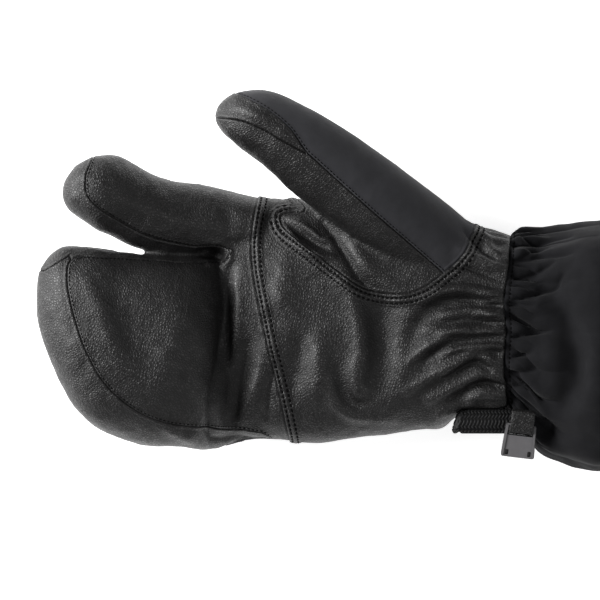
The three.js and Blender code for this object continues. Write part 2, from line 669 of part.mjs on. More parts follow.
// The leash: a flat braided band, folded once and stowed along the hand's outer edge. It is
// drawn in X and Z, with its turn at the low X end.
const leashHeight = 2 * (LEASH_THICKNESS + LEASH_BEND);
const leashOutline = new THREE.Shape();
const turnX = leashHeight / 2;
leashOutline.moveTo(LEASH_LENGTH, 0);
leashOutline.lineTo(LEASH_LENGTH, LEASH_THICKNESS);
leashOutline.lineTo(turnX, LEASH_THICKNESS);
leashOutline.absarc(turnX, turnX, LEASH_BEND, -Math.PI / 2, Math.PI / 2, true);
leashOutline.lineTo(LEASH_LENGTH, leashHeight - LEASH_THICKNESS);
leashOutline.lineTo(LEASH_LENGTH, leashHeight);
leashOutline.lineTo(turnX, leashHeight);
leashOutline.absarc(turnX, turnX, turnX, Math.PI / 2, -Math.PI / 2, false);
const leashGeometry = new THREE.ExtrudeGeometry(leashOutline, {
  depth: LEASH_WIDTH, bevelEnabled: false, curveSegments: 8,
}).rotateX(Math.PI / 2);
const leashPoints = leashGeometry.getAttribute("position");
for (let i = 0; i < leashPoints.count; i++) {
  const free = 1 - leashPoints.getX(i) / LEASH_LENGTH; // 0 at the wrist, 1 at the turn
  const lean = LEASH_SLANT * (leashPoints.getY(i) + LEASH_WIDTH) * free;
  leashPoints.setX(i, leashPoints.getX(i) + lean);
}
leashGeometry.computeVertexNormals();

// It lies against the hand's side wall, with its ends tucked under the tab.
const droop = radians(CLIP_DROOP);
const tabLow =
  fastening.position.z - (FIT_GAP + TAB_THICKNESS) * Math.cos(droop) + tabOuterEnd * Math.sin(droop);
const leashZ = tabLow - FIT_GAP - leashHeight;
const besideLeash = (ring) =>
  ring.filter((p) => p.z > leashZ - PLEAT_DEPTH && p.z < leashZ + leashHeight + PLEAT_DEPTH);
const wallBeside = besideLeash(cuffRing(LEASH_TUCK, 0, cuffAround));
for (let share = 0; share <= 1; share += 0.125) {
  const distance = share * (LEASH_LENGTH - LEASH_SLANT * LEASH_WIDTH);
  wallBeside.push(...besideLeash(formRing(palmForm, distance, 0, 10 * LEATHER_PLEATS)));
}
const leashEdge = Math.min(...wallBeside.map((p) => p.y)) - FIT_GAP;

// Materials, with the colours and gloss that show in daylight
const leather = new THREE.MeshStandardMaterial({ color: 0x1c1a1b, roughness: 0.45 });
const softshell = new THREE.MeshStandardMaterial({ color: 0x232327, roughness: 0.9 });
const braid = new THREE.MeshStandardMaterial({ color: 0x0d0d0f, roughness: 0.8 });
const plastic = new THREE.MeshStandardMaterial({ color: 0x2b2a2e, roughness: 0.5 });

const mitt = new THREE.Group();
function place(name, geometry, material, parent = mitt) {
  const mesh = new THREE.Mesh(geometry, material);
  mesh.name = name;
  parent.add(mesh);
  return mesh;
}
const clothPanels = ["hand_back_panel", "thumb_back_panel"];
for (const [name, solid] of Object.entries(panels)) {
  place(name, geometryOf(solid), clothPanels.includes(name) ? softshell : leather);
}
place("gauntlet_cuff", geometryOf(gauntletCuff), softshell);
place("cuff_hem", geometryOf(cuffHem), softshell);
mitt.add(fastening);
place("clip_tab", tabGeometry, leather, fastening);
place("clip", clipGeometry, plastic, fastening);
const leash = place("wrist_leash", leashGeometry, braid);
leash.position.set(WRIST_X + LEASH_TUCK - LEASH_LENGTH, leashEdge, leashZ);

export default mitt;
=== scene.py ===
"""A lobster claw mitt lying on its back, palm up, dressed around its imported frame.

Shapes are worked out in millimetres in the frame's own axes, +X from the fingertips to the
cuff, +Y to the thumb side and +Z out of the palm, and turned to metres as they are stored.
"""

import bmesh
import bpy
import numpy as np
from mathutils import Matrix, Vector


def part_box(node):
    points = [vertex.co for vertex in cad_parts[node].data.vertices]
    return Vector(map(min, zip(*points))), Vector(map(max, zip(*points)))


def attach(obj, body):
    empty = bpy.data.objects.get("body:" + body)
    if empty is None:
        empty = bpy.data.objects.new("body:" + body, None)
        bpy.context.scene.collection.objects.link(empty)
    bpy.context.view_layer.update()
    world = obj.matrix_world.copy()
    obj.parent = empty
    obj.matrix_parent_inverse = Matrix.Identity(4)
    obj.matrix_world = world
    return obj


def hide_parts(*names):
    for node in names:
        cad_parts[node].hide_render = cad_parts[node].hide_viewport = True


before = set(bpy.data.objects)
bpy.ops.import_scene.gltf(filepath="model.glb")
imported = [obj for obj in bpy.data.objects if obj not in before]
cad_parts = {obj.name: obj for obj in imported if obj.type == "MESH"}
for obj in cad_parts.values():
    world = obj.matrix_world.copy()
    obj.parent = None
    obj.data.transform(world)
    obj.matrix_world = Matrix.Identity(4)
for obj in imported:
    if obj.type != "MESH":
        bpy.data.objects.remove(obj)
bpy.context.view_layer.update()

# The table, the light and the camera. A pale table under broad soft light from the fingers'
# side and a weak fill from the cuff's, with the camera far above it and looking straight down.
MM = 0.001
FRAME_PIXELS = 600
PIXEL = 0.45 * MM  # what one pixel of the frame covers on the mitt
MIDDLE = Vector((-75 * PIXEL, 20 * PIXEL, 0))
CAMERA_HEIGHT = 3.0
FOCUS_HEIGHT = 0.035
SENSOR = 36

camera_data = bpy.data.cameras.new("camera")
camera_data.sensor_width = SENSOR
camera_data.lens = SENSOR * (CAMERA_HEIGHT - FOCUS_HEIGHT) / (FRAME_PIXELS * PIXEL)
camera = bpy.data.objects.new("camera", camera_data)
camera.location = MIDDLE + Vector((0, 0, CAMERA_HEIGHT))
bpy.context.collection.objects.link(camera)
bpy.context.scene.camera = camera
bpy.context.scene.view_settings.view_transform = "Standard"

SOFT_LIGHTS = {  # place in metres, size, power
    "window": ((-1.15, 0.35, 0.68), 0.7, 34),
    "fill": ((1.0, -0.35, 1.1), 1.0, 4.5),
}
for name, (place, size, power) in SOFT_LIGHTS.items():
    light = bpy.data.lights.new(name, "AREA")
    light.size = size
    light.energy = power
    lamp = bpy.data.objects.new(name, light)
    lamp.location = place
    lamp.rotation_euler = (MIDDLE - Vector(place)).to_track_quat("-Z", "Y").to_euler()
    bpy.context.collection.objects.link(lamp)

world = bpy.data.worlds.new("studio")
world.use_nodes = True
world.node_tree.nodes["Background"].inputs["Color"].default_value = (1, 1, 1, 1)
world.node_tree.nodes["Background"].inputs["Strength"].default_value = 0.12
bpy.context.scene.world = world


class Value:
    """A number socket in a material. Sums on it add Math nodes."""

    def __init__(self, finish, socket):
        self.finish, self.socket = finish, socket

    def __add__(self, other):
        return self.finish.math("ADD", self, other)

    def __sub__(self, other):
        return self.finish.math("SUBTRACT", self, other)

    def __rsub__(self, other):
        return self.finish.math("SUBTRACT", other, self)

    def __mul__(self, other):
        return self.finish.math("MULTIPLY", self, other)

    __radd__, __rmul__ = __add__, __mul__


class Finish:
    """A material: its shader's own constants, and the nodes that vary it."""

    def __init__(self, name, **constants):
        self.material = bpy.data.materials.new(name)
        self.material.use_nodes = True
        self.tree = self.material.node_tree
        self.shader = self.tree.nodes["Principled BSDF"]
        for key, value in constants.items():
            socket = key.replace("_", " ").title().replace("Ior", "IOR")
            self.shader.inputs[socket].default_value = value
        self.place = self.node("ShaderNodeTexCoord").outputs["Object"]

    def node(self, kind, settings=(), **sockets):
        """Adds a node: first its settings, then the values or links of its sockets."""
        made = self.tree.nodes.new(kind)
        for key, value in dict(settings).items():
            setattr(made, key, value)
        for key, value in sockets.items():
            found = made.inputs[int(key[1:])] if key[0] == "_" else made.inputs[key.replace("_", " ")]
            self.feed(found, value)
        return made

    def feed(self, socket, value):
        """Links a socket to a value or a node's output, or sets it to a plain number or colour."""
        if isinstance(value, Value):
            value = value.socket
        if isinstance(value, bpy.types.NodeSocket):
            self.tree.links.new(value, socket)
        else:
            socket.default_value = value

    def math(self, operation, a, b):
        """A sum on two values or numbers; `_0` and `_1` are the node's sockets by number."""
        made = self.node("ShaderNodeMath", {"operation": operation}, _0=a, _1=b)
        return Value(self, made.outputs[0])

    def between(self, value, low, high, to_low=0.0, to_high=1.0):
        """The value eased from one range of numbers to another, and held at its ends."""
        made = self.node(
            "ShaderNodeMapRange", {"interpolation_type": "SMOOTHSTEP"},
            Value=value, From_Min=low, From_Max=high, To_Min=to_low, To_Max=to_high,
        )
        return Value(self, made.outputs[0])

    def noise(self, size, detail=2.0, roughness=0.5):
        """Smooth noise with features of about `size` mm."""
        made = self.node(
            "ShaderNodeTexNoise", Vector=self.place, Scale=1 / (size * MM), Detail=detail,
            Roughness=roughness,
        )
        return Value(self, made.outputs["Fac"])

    def cells(self, size):
        """Distance to the edges of uneven cells of about `size` mm."""
        made = self.node(
            "ShaderNodeTexVoronoi", {"feature": "DISTANCE_TO_EDGE"}, Vector=self.place,
            Scale=1 / (size * MM),
        )
        return Value(self, made.outputs["Distance"])

    def colour(self, factor, dark, light):
        """A colour between two, by a factor from 0 to 1."""
        made = self.node(
            "ShaderNodeMix", {"data_type": "RGBA"}, Factor=factor, _6=(*dark, 1), _7=(*light, 1),
        )
        return made.outputs[2]

    def relief(self, height, depth, strength=1.0):
        """Feeds the shader's normal with a bump `depth` mm deep."""
        made = self.node("ShaderNodeBump", Strength=strength, Distance=depth * MM, Height=height)
        self.feed(self.shader.inputs["Normal"], made.outputs["Normal"])

    def set(self, socket, value):
        self.feed(self.shader.inputs[socket], value)


def put_mesh(name, points, faces, materials=()):
    """A smooth mesh object from points in mm and faces of equally many corners."""
    mesh = bpy.data.meshes.new(name)
    faces = np.asarray(faces, np.int32)
    mesh.vertices.add(len(points))
    mesh.vertices.foreach_set("co", (np.asarray(points) * MM).astype(np.float32).ravel())
    mesh.loops.add(faces.size)
    mesh.loops.foreach_set("vertex_index", faces.ravel())
    mesh.polygons.add(len(faces))
    mesh.polygons.foreach_set("loop_start", np.arange(0, faces.size, faces.shape[1], dtype=np.int32))
    mesh.update(calc_edges=True)
    mesh.shade_smooth()
    for finish in materials:
        mesh.materials.append(finish.material)
    thing = bpy.data.objects.new(name, mesh)
    bpy.context.collection.objects.link(thing)
    return thing


table_finish = Finish(
    "table", roughness=0.9, specular_ior_level=0.1, emission_color=(1, 1, 1, 1),
    emission_strength=0.8)
table_finish.set("Base Color", table_finish.colour(
    table_finish.noise(60), (0.94, 0.94, 0.94), (0.96, 0.96, 0.96)))
TABLE_HALF = 4000  # mm
table = put_mesh(
    "table", TABLE_HALF * np.array([[-1, -1, 0], [1, -1, 0], [1, 1, 0], [-1, 1, 0]]),
    [[0, 1, 2, 3]], [table_finish],
)

# The hand: a padded leather shell with a softshell back, cut and sewn from nine panels. Its
# palm, index stall, pouch and thumb are lofted, fused, parted along the seams and creased as
# the leather of a worn mitt is.
HAND_LENGTH, PALM_WIDTH, HAND_DEPTH, WRIST_X = 211.0, 110.0, 48.0, 59.4
INDEX_WIDTH, THUMB_WIDTH = 34.0, 37.4
POUCH_WIDTH = PALM_WIDTH - 0.735 * INDEX_WIDTH
REST_SOFTNESS = 2.5  # mm over which the flank rounds into the part that rests

# Each row: share of the length, sway to the thumb side, width, lift, reach up, reach down
palm_form = dict(
    root=(0, 0), heading=0, length=HAND_LENGTH, width=PALM_WIDTH, tip=0, corner=2.5,
    rows=np.array([
        (0, -0.008, 0.71, 0.53, 0.46, 0.53), (0.058, 0.004, 0.745, 0.52, 0.46, 0.55),
        (0.1, 0.008, 0.79, 0.51, 0.48, 0.56), (0.137, -0.004, 0.892, 0.505, 0.49, 0.565),
        (0.186, 0.018, 0.945, 0.5, 0.5, 0.57),
        (0.271, 0.012, 0.982, 0.5, 0.5, 0.57), (0.441, 0.002, 0.994, 0.5, 0.47, 0.57),
        (0.527, 0.004, 0.998, 0.5, 0.42, 0.57), (0.575, 0.004, 1, 0.5, 0.38, 0.54),
        (0.612, -0.004, 0.93, 0.55, 0.28, 0.36),
    ]),
)
index_form = dict(
    root=(0.523, 0.5 - 0.4 * INDEX_WIDTH / PALM_WIDTH), heading=11.3, length=91.6,
    width=INDEX_WIDTH, tip=22, corner=2.3,
    rows=np.array([
        (0, 0, 0.8, 0.5, 0.36, 0.36), (0.247, -0.052, 0.9, 0.56, 0.36, 0.36),
        (0.403, -0.109, 0.99, 0.63, 0.35, 0.35), (0.565, -0.088, 1.02, 0.72, 0.34, 0.34),
        (0.734, 0.037, 1.05, 0.84, 0.34, 0.33), (0.856, 0.052, 1.0, 0.91, 0.33, 0.32),
        (1, 0.003, 0.96, 0.95, 0.31, 0.3),
    ]),
)
pouch_form = dict(
    root=(0.548, (-0.517 * PALM_WIDTH + POUCH_WIDTH / 2) / PALM_WIDTH), heading=0,
    length=HAND_LENGTH * (1 - 0.548), width=POUCH_WIDTH, tip=32, corner=2.4,
    rows=np.array([
        (0, 0, 0.96, 0.46, 0.1, 0.4), (0.1, -0.01, 0.99, 0.54, 0.3, 0.46),
        (0.19, -0.016, 1.027, 0.61, 0.5, 0.46), (0.33, 0.003, 1.011, 0.7, 0.53, 0.44),
        (0.481, 0.013, 1.001, 0.77, 0.5, 0.41), (0.632, 0.048, 0.975, 0.83, 0.46, 0.39),
        (0.783, 0.106, 0.96, 0.88, 0.43, 0.37), (0.896, 0.206, 0.95, 0.91, 0.4, 0.36),
        (1, 0.291, 0.94, 0.92, 0.38, 0.35),
    ]),
)
thumb_form = dict(
    root=(0.122, 0.254), heading=34, length=124, width=THUMB_WIDTH, tip=19, corner=2.3,
    rows=np.array([
        (-0.12, 0, 0.9, 0.52, 0.34, 0.3), (0.132, 0.017, 1, 0.66, 0.4, 0.34),
        (0.351, 0.063, 1, 0.83, 0.37, 0.34), (0.563, 0.07, 1, 0.94, 0.35, 0.33),
        (0.762, 0.096, 0.85, 1.0, 0.33, 0.31), (0.904, 0.046, 0.76, 1.03, 0.3, 0.28),
        (1, -0.04, 0.72, 1.03, 0.27, 0.26),
    ]),
)


def columns_at(rows, along):
    """Every column of a table at stations: a Hermite curve through its rows, each row's
    slope being that of the line between its neighbours."""
    keys = rows[:, 0]
    ends = np.clip(np.arange(len(keys))[:, None] + [-1, 1], 0, len(keys) - 1)
    slope = (rows[ends[:, 1]] - rows[ends[:, 0]]) / (keys[ends[:, 1]] - keys[ends[:, 0]])[:, None]
    i = np.clip(np.searchsorted(keys, along, side="right") - 1, 0, len(keys) - 2)
    step = (keys[i + 1] - keys[i])[:, None]
    t = (along - keys[i])[:, None] / step
    return (
        rows[i] * (1 + 2 * t) * (1 - t) ** 2 + slope[i] * step * t * (1 - t) ** 2
        + rows[i + 1] * t ** 2 * (3 - 2 * t) - slope[i + 1] * step * t ** 2 * (1 - t)
    )


def hand_point(shares):
    """Plan points from shares of the hand's length, from the wrist, and of its width."""
    shares = np.asarray(shares, float)
    return np.stack([WRIST_X - shares[..., 0] * HAND_LENGTH, shares[..., 1] * PALM_WIDTH], -1)


def tube_point(form, shares):
    """Plan points from shares of a tube's length along its heading and of its width."""
    shares = np.asarray(shares, float)
    turn = np.radians(form["heading"])
    ahead, aside = np.array([-np.cos(turn), np.sin(turn)]), np.array([np.sin(turn), np.cos(turn)])
    return (
        hand_point(form["root"]) + shares[..., :1] * form["length"] * ahead
        + shares[..., 1:] * form["width"] * aside
    )


def rounded_box(angle, half, up, down, corner):
    """Across and rise of a section: cosine and sine, each to the power 2 / corner."""
    c, s = np.cos(angle), np.sin(angle)
    across = half * np.sign(c) * np.abs(c) ** (2 / corner)
    rise = np.where(s > 0, up, down) * np.sign(s) * np.abs(s) ** (2 / corner)
    return across, rise


def rest_on_table(height, softness=REST_SOFTNESS):
    """Heights pressed flat at 0: a parabola joins the level part to the rest."""
    eased = (height + softness) ** 2 / (4 * softness)
    return np.where(height > softness, height, np.where(height < -softness, 0, eased))


def tube_surface(form, around=150, pitch=1.5, before=0.0):
    """A closed tube: upright rounded-box sections along a level heading, whose size falls
    as a circle's height over the tip, with a point at each end."""
    rows, length, tip = form["rows"], form["length"], form["tip"]
    start, end = rows[0, 0] * length - before, rows[-1, 0] * length
    distance = np.arange(start, end - tip, pitch)
    if tip:
        distance = np.append(distance, end - tip + tip * np.sin(np.linspace(0, np.pi / 2, 30)[:-1]))
    shares = distance / length
    value = columns_at(rows, np.clip(shares, rows[0, 0], rows[-1, 0]))[:, :, None]
    closing = np.maximum((distance - (end - tip)) / tip, 0) if tip else np.zeros_like(distance)
    size = np.sqrt(1 - closing ** 2)[:, None]
    angle = np.linspace(0, 2 * np.pi, around, endpoint=False)[None, :]
    half = value[:, 2] * form["width"] / 2 * size
    across, rise = rounded_box(
        angle, half, value[:, 4] * HAND_DEPTH * size, value[:, 5] * HAND_DEPTH * size, form["corner"],
    )
    plan = tube_point(form, np.stack(
        [np.broadcast_to(shares[:, None], across.shape), value[:, 1] + across / form["width"]], -1))
    grid = np.concatenate([plan, (value[:, 3] * HAND_DEPTH + rise)[..., None]], -1)
    rings = len(grid)
    ring, step = np.meshgrid(np.arange(rings - 1), np.arange(around), indexing="ij")
    a, b = ring * around + step, ring * around + (step + 1) % around
    quads = np.stack([a, b, b + around, a + around], -1).reshape(-1, 4)
    first, last = grid[0].mean(0), grid[-1].mean(0)
    points = np.vstack([grid.reshape(-1, 3), first, last])
    k = np.arange(around)
    caps = np.vstack([
        np.stack([(k + 1) % around, k, np.full(around, rings * around)], -1),
        np.stack([k, (k + 1) % around, np.full(around, rings * around + 1)], -1)
        + [(rings - 1) * around, (rings - 1) * around, 0],
    ])
    triangles = np.vstack([quads[:, [0, 1, 2]], quads[:, [0, 2, 3]], caps])
    points[:, 2] = rest_on_table(points[:, 2])
    return points, triangles[:, ::-1]


VOXEL = 0.98
PALM_START = 7.0  # mm that the palm's tube starts past the wrist, to be cut off again

tubes = [tube_surface(palm_form, before=PALM_START)]
tubes += [tube_surface(form) for form in (index_form, pouch_form, thumb_form)]
offsets = np.cumsum([0] + [len(points) for points, _ in tubes[:-1]])
rough = put_mesh(
    "hand", np.vstack([points for points, _ in tubes]),
    np.vstack([triangles + offset for (_, triangles), offset in zip(tubes, offsets)]),
)
fuse = rough.modifiers.new("fuse", "REMESH")
fuse.mode = "VOXEL"
fuse.voxel_size = VOXEL * MM
fused = rough.evaluated_get(bpy.context.evaluated_depsgraph_get()).to_mesh()
skin = np.empty(len(fused.vertices) * 3, np.float32)
fused.vertices.foreach_get("co", skin)
skin = skin.reshape(-1, 3).astype(float) / MM
fused.calc_loop_triangles()
faces = np.empty(len(fused.loop_triangles) * 3, np.int32)
fused.loop_triangles.foreach_get("vertices", faces)
faces = faces.reshape(-1, 3)
rough.evaluated_get(bpy.context.evaluated_depsgraph_get()).to_mesh_clear()
bpy.data.objects.remove(rough)


def edges_of(triangles):
    """Each edge of a triangle mesh once, as two vertex numbers in rising order."""
    pairs = np.sort(np.vstack([triangles[:, [0, 1]], triangles[:, [1, 2]], triangles[:, [2, 0]]]), 1)
    return np.unique(pairs, axis=0)


def smoothed(values, edges, rounds, weight=0.5):
    """Moves each value towards the mean of its neighbours' values, round after round."""
    count = np.bincount(edges.ravel(), minlength=len(values)).astype(float)
    values = values.copy()
    for _ in range(rounds):
        total = np.empty_like(values)
        for k in range(values.shape[1]):
            total[:, k] = (
                np.bincount(edges[:, 0], values[edges[:, 1], k], len(values))
                + np.bincount(edges[:, 1], values[edges[:, 0], k], len(values))
            )
        values += weight * (total / count[:, None] - values)
    return values


def outward(points, triangles):
    """Unit normals at the points: the summed normals of the triangles around each."""
    a, b, c = (points[triangles[:, k]] for k in range(3))
    normal = np.cross(b - a, c - a)
    total = np.stack([
        sum(np.bincount(triangles[:, k], normal[:, axis], len(points)) for k in range(3))
        for axis in range(3)
    ], -1)
    return total / np.maximum(np.linalg.norm(total, axis=1), 1e-12)[:, None]


edges = edges_of(faces)
skin = smoothed(skin, edges, int(10 / VOXEL ** 2))
a, b, c = (skin[faces[:, k]] for k in range(3))
if np.einsum("ij,ij->i", a, np.cross(b, c)).sum() < 0:
    faces = faces[:, ::-1]


def spline_through(points, steps=8):
    """A Catmull-Rom curve through points."""
    p = np.asarray(points, float)
    p = np.vstack([p[:1], p, p[-1:]])
    p0, p1, p2, p3 = p[:-3, None], p[1:-2, None], p[2:-1, None], p[3:, None]
    t = np.linspace(0, 1, steps, endpoint=False)[None, :, None]
    curve = p1 + 0.5 * (
        (p2 - p0) * t + (2 * p0 - 5 * p1 + 4 * p2 - p3) * t ** 2
        + (3 * p1 - p0 - 3 * p2 + p3) * t ** 3
    )
    return np.vstack([curve.reshape(-1, p.shape[1]), p[-1:]])


palm_seam = spline_through(hand_point([
    (0.518, 0.62), (0.538, 0.43), (0.5455, 0.307), (0.541, 0.184), (0.522, 0), (0.501, -0.184),
    (0.478, -0.368), (0.45, -0.62),
]))
thumb_base_seam = spline_through(hand_point([
    (0.608, 0.696), (0.51, 0.556), (0.442, 0.491), (0.433, 0.446), (0.463, 0.44),
    (0.482, 0.4255), (0.478, 0.3845), (0.461, 0.348), (0.42, 0.286), (0.373, 0.218),
    (0.318, 0.143), (0.271, 0.1125), (0.224, 0.1064), (0.181, 0.131), (0.139, 0.188),
    (0.107, 0.241), (0.085, 0.307), (0.0725, 0.376), (0.064, 0.43), (0.07, 0.56),
]))
finger_seam = spline_through(np.vstack([
    tube_point(index_form, [
        (0.86, 0.7), (0.883, 0.361), (0.889, 0.169), (0.87, -0.023), (0.799, -0.174),
        (0.69, -0.29), (0.557, -0.394), (0.429, -0.433), (0.304, -0.42), (0.219, -0.361),
    ]),
    hand_point([(0.594, 0.288), (0.596, 0.26), (0.618, 0.238)]),
    tube_point(pouch_form, [
        (0.283, 0.475), (0.472, 0.485), (0.69, 0.5), (0.79, 0.505), (0.842, 0.48),
        (0.854, 0.42), (0.849, 0.328), (0.816, 0.169), (0.755, -0.016), (0.67, -0.175),
        (0.542, -0.296), (0.401, -0.365), (0.236, -0.397), (0.118, -0.408), (0, -0.424),
        (-0.085, -0.46), (-0.16, -0.6),
    ]),
]), 5)
thumb_back_seam = spline_through(tube_point(thumb_form, [
    (1.08, 0.16), (1.011, 0.16), (0.92, 0.22), (0.836, 0.235), (0.741, 0.2), (0.651, 0.09),
    (0.6, 0.06), (0.338, -0.059), (0.044, -0.171), (-0.1, -0.24),
]))
thumb_tip_seam = spline_through(tube_point(thumb_form, [
    (1.08, -0.22), (0.994, -0.191), (0.908, -0.056), (0.814, 0.01), (0.732, 0.03), (0.64, 0.062),
]))
side_seam = spline_through([
    (WRIST_X - along * HAND_LENGTH, height * HAND_DEPTH) for along, height in [
        (-0.1, 0.36), (0.1, 0.37), (0.3, 0.38), (0.5, 0.42), (0.65, 0.54), (0.8, 0.66),
        (0.92, 0.74), (1.2, 0.8),
    ]
])[::-1]
OUT = 900.0  # mm, well outside the mitt
outlines = {
    "fingers": np.vstack([palm_seam, [(-OUT, -OUT), (-OUT, OUT)]]),
    "finger palm": np.vstack([finger_seam, [(OUT, -OUT), (OUT, OUT), (-90, OUT)]]),
    "thumb": np.vstack([thumb_base_seam, [(0, OUT), (-OUT, OUT)], hand_point([(0.66, 0.86)])]),
    "thumb back": np.vstack([thumb_back_seam, [(OUT, 140), (0, OUT), (-OUT, OUT)]]),
    "thumb tip": np.vstack([
        thumb_tip_seam, tube_point(thumb_form, [(0.6, 0.3), (0.6, 1.5), (1.3, 1.5), (1.3, -0.22)]),
    ]),
    "pouch outer side": np.vstack([
        hand_point([(0.93, 0.262), (0.985, 0.2)]), [(-OUT, 68), (-OUT, -OUT), (OUT, -OUT)],
        hand_point([(0.4, -0.2), (0.9, 0.15)]),
    ]),
    "finger back": np.vstack([hand_point([(0.6, 2), (0.6, -2)]), [(-OUT, -OUT), (-OUT, OUT)]]),
}


def distance_inside(plan, outline):
    """Distance from plan points to a closed outline, below 0 outside it: the least distance
    to its sides, with the sign from counting the sides that a ray along X crosses."""
    best = np.full(len(plan), np.inf)
    inside = np.zeros(len(plan), bool)
    x, y = plan[:, 0], plan[:, 1]
    for (ax, ay), (bx, by) in zip(outline, np.roll(outline, -1, 0)):
        dx, dy = bx - ax, by - ay
        t = np.clip(((x - ax) * dx + (y - ay) * dy) / max(dx * dx + dy * dy, 1e-12), 0, 1)
        best = np.minimum(best, (x - ax - t * dx) ** 2 + (y - ay - t * dy) ** 2)
        if ay != by:
            inside ^= ((ay > y) != (by > y)) & (x < ax + (y - ay) * dx / dy)
    return np.where(inside, 1, -1) * np.sqrt(best)


def side_of(points, cut):
    """Signed distance from a named cut: above 0 on the side that it is named for."""
    if cut == "wrist":
        return WRIST_X - 0.1 - points[:, 0]
    if cut == "palm side":
        return points[:, 2] - np.interp(points[:, 0], side_seam[:, 0], side_seam[:, 1])
    return distance_inside(points[:, :2], outlines[cut])


def part_along(points, triangles, side, locked):
    """Cuts a triangle mesh where `side` is 0. A vertex within a quarter of an edge from the
    cut is first moved on to it, unless it is locked; each triangle that still straddles the
    cut is divided at the places where its edges cross it."""
    pairs = edges_of(triangles)
    fa, fb = side[pairs[:, 0]], side[pairs[:, 1]]
    crossing = fa * fb < 0
    pairs, fa, fb = pairs[crossing], fa[crossing], fb[crossing]
    t = fa / (fa - fb)
    points, side = points.copy(), side.copy()
    for near, ends in ((t < 0.25, (0, 1)), (t > 0.75, (1, 0))):
        move = near & ~locked[pairs[:, ends[0]]]
        own, other = pairs[move, ends[0]], pairs[move, ends[1]]
        share = (t if ends[0] == 0 else 1 - t)[move][:, None]
        points[own] = points[own] * (1 - share) + points[other] * share
        side[own] = 0
    fa, fb = side[pairs[:, 0]], side[pairs[:, 1]]
    crossing = fa * fb < 0
    pairs, t = pairs[crossing], (fa / np.where(crossing, fa - fb, 1))[crossing][:, None]
    fresh = points[pairs[:, 0]] * (1 - t) + points[pairs[:, 1]] * t
    size = len(points)
    key = pairs[:, 0].astype(np.int64) * size + pairs[:, 1]
    order = np.argsort(key)
    key = key[order]
    number = size + order
    points = np.vstack([points, fresh])
    side_all = np.append(side, np.zeros(len(fresh)))

    def middle(a, b):
        found = np.searchsorted(key, np.minimum(a, b).astype(np.int64) * size + np.maximum(a, b))
        return number[found]

    sign = np.sign(side[triangles])
    straddles = (sign.min(1) < 0) & (sign.max(1) > 0)
    whole, cut, sign = triangles[~straddles], triangles[straddles], sign[straddles]
    pieces = [whole]
    on = (sign == 0).any(1)
    for select, lone in ((on, lambda s: s == 0), (~on, lambda s: s * s.sum(1, keepdims=True) < 0)):
        some, s = cut[select], sign[select]
        first = np.argmax(lone(s), axis=1)
        v = np.stack([some[np.arange(len(some)), (first + k) % 3] for k in range(3)], -1)
        if select is on:
            m = middle(v[:, 1], v[:, 2])
            pieces += [np.stack([v[:, 0], v[:, 1], m], -1), np.stack([v[:, 0], m, v[:, 2]], -1)]
        else:
            m, n = middle(v[:, 0], v[:, 1]), middle(v[:, 0], v[:, 2])
            pieces += [
                np.stack([v[:, 0], m, n], -1), np.stack([m, v[:, 1], v[:, 2]], -1),
                np.stack([m, v[:, 2], n], -1),
            ]
    return points, np.vstack(pieces), side_all


CUTS = ["wrist", "palm side", "thumb", "thumb back", "thumb tip", "fingers", "finger palm",
        "pouch outer side", "finger back"]
locked = np.zeros(len(skin), bool)
for cut in CUTS:
    side = side_of(skin, cut)
    if cut != "wrist":  # each seam stops where the panel that it bounds does
        reach = {
            "thumb": ["palm side"], "thumb back": ["palm side", "thumb"],
            "thumb tip": ["palm side", "thumb", "-thumb back"],
            "fingers": ["palm side", "-thumb"],
            "finger palm": ["palm side", "-thumb", "fingers"],
            "pouch outer side": ["palm side", "-thumb", "fingers", "-finger palm"],
            "finger back": ["-palm side"],
        }.get(cut, [])
        for bound in reach:
            other = side_of(skin, bound.lstrip("-")) * (-1 if bound[0] == "-" else 1)
            side = np.where(other < -1e-4 - 2 * VOXEL, np.abs(side) + 1, side)
    skin, faces, side = part_along(skin, faces, side, locked)
    locked = np.append(locked, np.zeros(len(skin) - len(locked), bool)) | (side == 0)
    if cut == "wrist":
        kept = faces[side[faces].min(1) >= 0]
        used, faces = np.unique(kept, return_inverse=True)
        faces = faces.reshape(-1, 3)
        skin, locked = skin[used], locked[used]

centres = skin[faces].mean(1)
within = {cut: side_of(centres, cut) > 0 for cut in CUTS[1:]}
panel_of = np.select(
    [
        ~within["palm side"] & within["finger back"], ~within["palm side"],
        within["thumb"] & within["thumb back"], within["thumb"] & within["thumb tip"],
        within["thumb"], ~within["fingers"], within["finger palm"], within["pouch outer side"],
    ],
    np.arange(8), 8,
)
PANELS = ["finger_back_panel", "hand_back_panel", "thumb_back_panel", "thumb_tip_cap",
          "thumb_palm_panel", "palm_panel", "finger_palm_panel", "pouch_side_strip",
          "finger_side_strip"]


